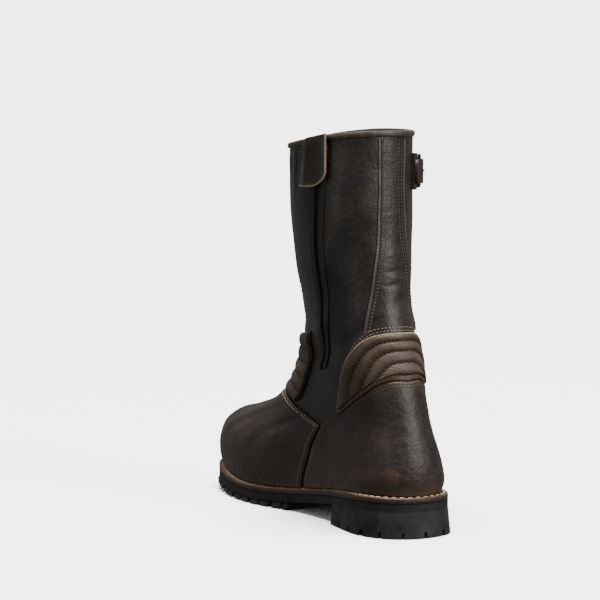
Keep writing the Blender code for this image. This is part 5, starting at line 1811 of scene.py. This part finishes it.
def make_stage():
    world = bpy.data.worlds.new("studio")
    world.use_nodes = True
    tree = world.node_tree
    sky = tree.nodes["Background"]
    sky.inputs["Color"].default_value = (1.0, 1.0, 1.0, 1.0)
    seen = tree.nodes.new("ShaderNodeLightPath").outputs["Is Camera Ray"]
    backdrop = maths(tree, "MULTIPLY", seen, BACKDROP - FILL)
    tree.links.new(maths(tree, "ADD", backdrop, FILL), sky.inputs["Strength"])
    bpy.context.scene.world = world
    made, tree, shader, coords = nodes_of("floor_paper")
    paper = ramp(tree, noise(tree, coords, 3.0), ((0.3, 0.90), (0.7, 0.91)))
    tree.links.new(paper, shader.inputs["Base Color"])
    shader.inputs["Roughness"].default_value = 0.9
    shader.inputs["Specular IOR Level"].default_value = 0.05
    sides = ((-1, -1), (1, -1), (1, 1), (-1, 1))
    corners = [(x * FLOOR_REACH, y * FLOOR_REACH, -GROUND) for x, y in sides]
    mesh = bpy.data.meshes.new("floor")
    mesh.from_pydata(corners, [], [(0, 1, 2, 3)])
    floor = bpy.data.objects.new("floor", mesh)
    mesh.materials.append(made)
    floor.visible_diffuse = False
    floor.visible_glossy = False
    bpy.context.scene.collection.objects.link(floor)
    lamp = bpy.data.lights.new("overhead", "SUN")
    lamp.energy = OVERHEAD
    lamp.angle = OVERHEAD_ANGLE
    overhead = bpy.data.objects.new("overhead", lamp)
    overhead.location = (0, 0, 3)
    bpy.context.scene.collection.objects.link(overhead)
    middle = (0, 0.03, 0.17)
    soft_light("key", (0.50, -1.5, 0.80), middle, (0.60, 1.1), KEY)
    soft_light("side", (-1.6, -0.2, 0.7), middle, (0.4, 1.2), SIDE)


# Colours in thousandths of linear red, green and blue
Leather = namedtuple("Leather", "name dark mid worn roughness patches grain")
LEATHERS = (
    Leather("shaft_leather", (4.0, 3.0, 2.7), (17.5, 13.0, 10.8), (60.0, 38.0, 25.0), 0.43, 26.0, 1.0),
    Leather("counter_leather", (3.4, 2.1, 1.4), (19.0, 12.3, 8.8), (64.0, 39.0, 22.5), 0.46, 26.0, 1.0),
    # vamp_leather: a dark brown made darker than the counter's leather; the extra darkness is a painted cast
    # shadow over the vamp.
    Leather("vamp_leather", (2.8, 1.7, 1.2), (11.5, 7.4, 5.1), (50.0, 30.0, 17.0), 0.46, 26.0, 1.0),
    Leather("pad_leather", (5.0, 2.7, 1.5), (34.0, 20.5, 12.5), (58.0, 35.0, 20.0), 0.54, 62.0, 1.0),
    Leather("hem_leather", (12.0, 6.5, 3.6), (36.0, 20.5, 11.5), (75.0, 42.0, 21.0), 0.52, 26.0, 1.0),
    Leather("instep_leather", (5.0, 2.8, 1.6), (30.0, 18.5, 11.5), (50.0, 31.0, 18.0), 0.54, 62.0, 1.0),
    # seam_leather is lighter than the shaft's leather, and its pale worn colour is a painted highlight on the
    # seams' raised edge.
    Leather("seam_leather", (9.0, 6.6, 5.4), (26.0, 19.2, 15.6), (110.0, 82.0, 64.0), 0.42, 26.0, 0.5),
    Leather("binding_leather", (9.5, 6.6, 4.7), (26.0, 18.5, 13.5), (55.0, 39.0, 28.0), 0.46, 26.0, 1.0),
    Leather("welt_edge", (5.0, 2.8, 1.6), (22.0, 12.5, 7.0), (44.0, 26.0, 15.0), 0.50, 26.0, 1.0),
    Leather("lining", (6.0, 5.0, 4.4), (12.0, 10.2, 9.0), (20.0, 17.0, 14.0), 0.70, 26.0, 0.5),
    Leather("flap_leather", (4.5, 2.8, 1.8), (13.5, 8.6, 5.6), (62.0, 42.0, 28.0), 0.46, 26.0, 1.0),
    Leather("strap_leather", (5.5, 3.0, 1.8), (16.5, 9.6, 5.8), (34.0, 20.5, 12.2), 0.48, 26.0, 1.0),
    Leather("insole_leather", (40.0, 28.0, 20.0), (75.0, 54.0, 39.0), (100.0, 75.0, 55.0), 0.75, 26.0, 0.5),
)
Thread = namedtuple("Thread", "name colour")
THREADS = (
    Thread("pale_cord", (185.0, 130.0, 82.0)),
    Thread("brown_thread", (105.0, 68.0, 38.0)),
    Thread("grey_thread", (85.0, 69.0, 56.0)),
    Thread("welt_thread", (500.0, 340.0, 200.0)),
    Thread("dark_thread", (30.0, 21.0, 14.0)),
    Thread("zip_cloth", (5.0, 4.7, 4.7)),
    # A near-black finish, not a thread: painted shade in each needle hole and along the back seams' step
    Thread("hole_and_seam_shade", (1.8, 1.3, 1.0)),
)
Spot = namedtuple("Spot", "place size colour")
RUST_SPOT = Spot((-0.0207, -0.0289, 0.047), 0.0008, (0.060, 0.031, 0.014))


def shade(colour):
    return tuple(value / 1000 for value in colour)


def make_finishes():
    made = {}
    for row in LEATHERS:
        colours = (shade(row.dark), shade(row.mid), shade(row.worn))
        spot = RUST_SPOT if row.name == "counter_leather" else None
        made[row.name] = leather(row.name, *colours, row.roughness, row.patches, row.grain, spot)
    for row in THREADS:
        made[row.name] = thread_finish(row.name, shade(row.colour))
    made["sole"] = rubber_finish("sole_rubber", shade((1.2, 1.2, 1.3)), shade((13.5, 13.7, 14.2)))
    made["heel"] = rubber_finish("heel_rubber", shade((1.4, 1.4, 1.5)), shade((21.0, 21.3, 22.2)))
    made["metal"] = metal_finish("dark_metal", shade((4.0, 3.4, 3.0)), shade((19.0, 16.2, 14.0)), 0.36)
    return made


def main():
    make_camera()
    make_stage()
    made = make_finishes()
    pale = made["pale_cord"]
    thread = made["brown_thread"]
    dark = made["dark_thread"]
    painted_shade = made["hole_and_seam_shade"]
    metal = made["metal"]
    strap = made["strap_leather"]
    fine_upper(made["shaft_leather"], made["lining"])
    fine_counter(made["counter_leather"])
    fine_vamp(made["vamp_leather"])
    fine_ankle_pad(made["pad_leather"], made["hem_leather"], thread, pale, painted_shade)
    fine_instep_pad(made["instep_leather"], thread)
    for column, side in (("medial", -1), ("lateral", 1)):
        fine_back_seam(column, side, made["seam_leather"], made["grey_thread"], painted_shade)
    fine_collar(made["binding_leather"], dark)
    edge_stitches(pale, dark, painted_shade)
    fine_welt(made["welt_edge"], made["welt_thread"])
    fine_insole(made["insole_leather"])
    take_piece(make_outsole(made["sole"]), "rubber", "outsole", "outsole_rubber")
    take_piece(close_up(bake(make_heel(made["heel"]))), "heel_rubber", "heel_block", "heel_rubber")
    fine_zip(made["zip_cloth"], metal)
    take_piece(make_slider(metal), "slider_metal", "zip_slider", "zip_slider_metal", bevel=0.3 * MM)
    fine_flap(made["flap_leather"], pale)
    take_piece(make_strap_anchor(strap), "anchor_leather", "strap_anchor", "strap_anchor_leather", 0.4)
    take_piece(make_strap(strap), "strap_leather", "strap", "strap_leather", 0.4)
    take_piece(make_buckle_frame(metal), "frame_metal", "buckle_frame", "buckle_frame_metal")
    take_piece(make_prong(metal), "prong_metal", "buckle_prong", "buckle_prong_metal")


main()
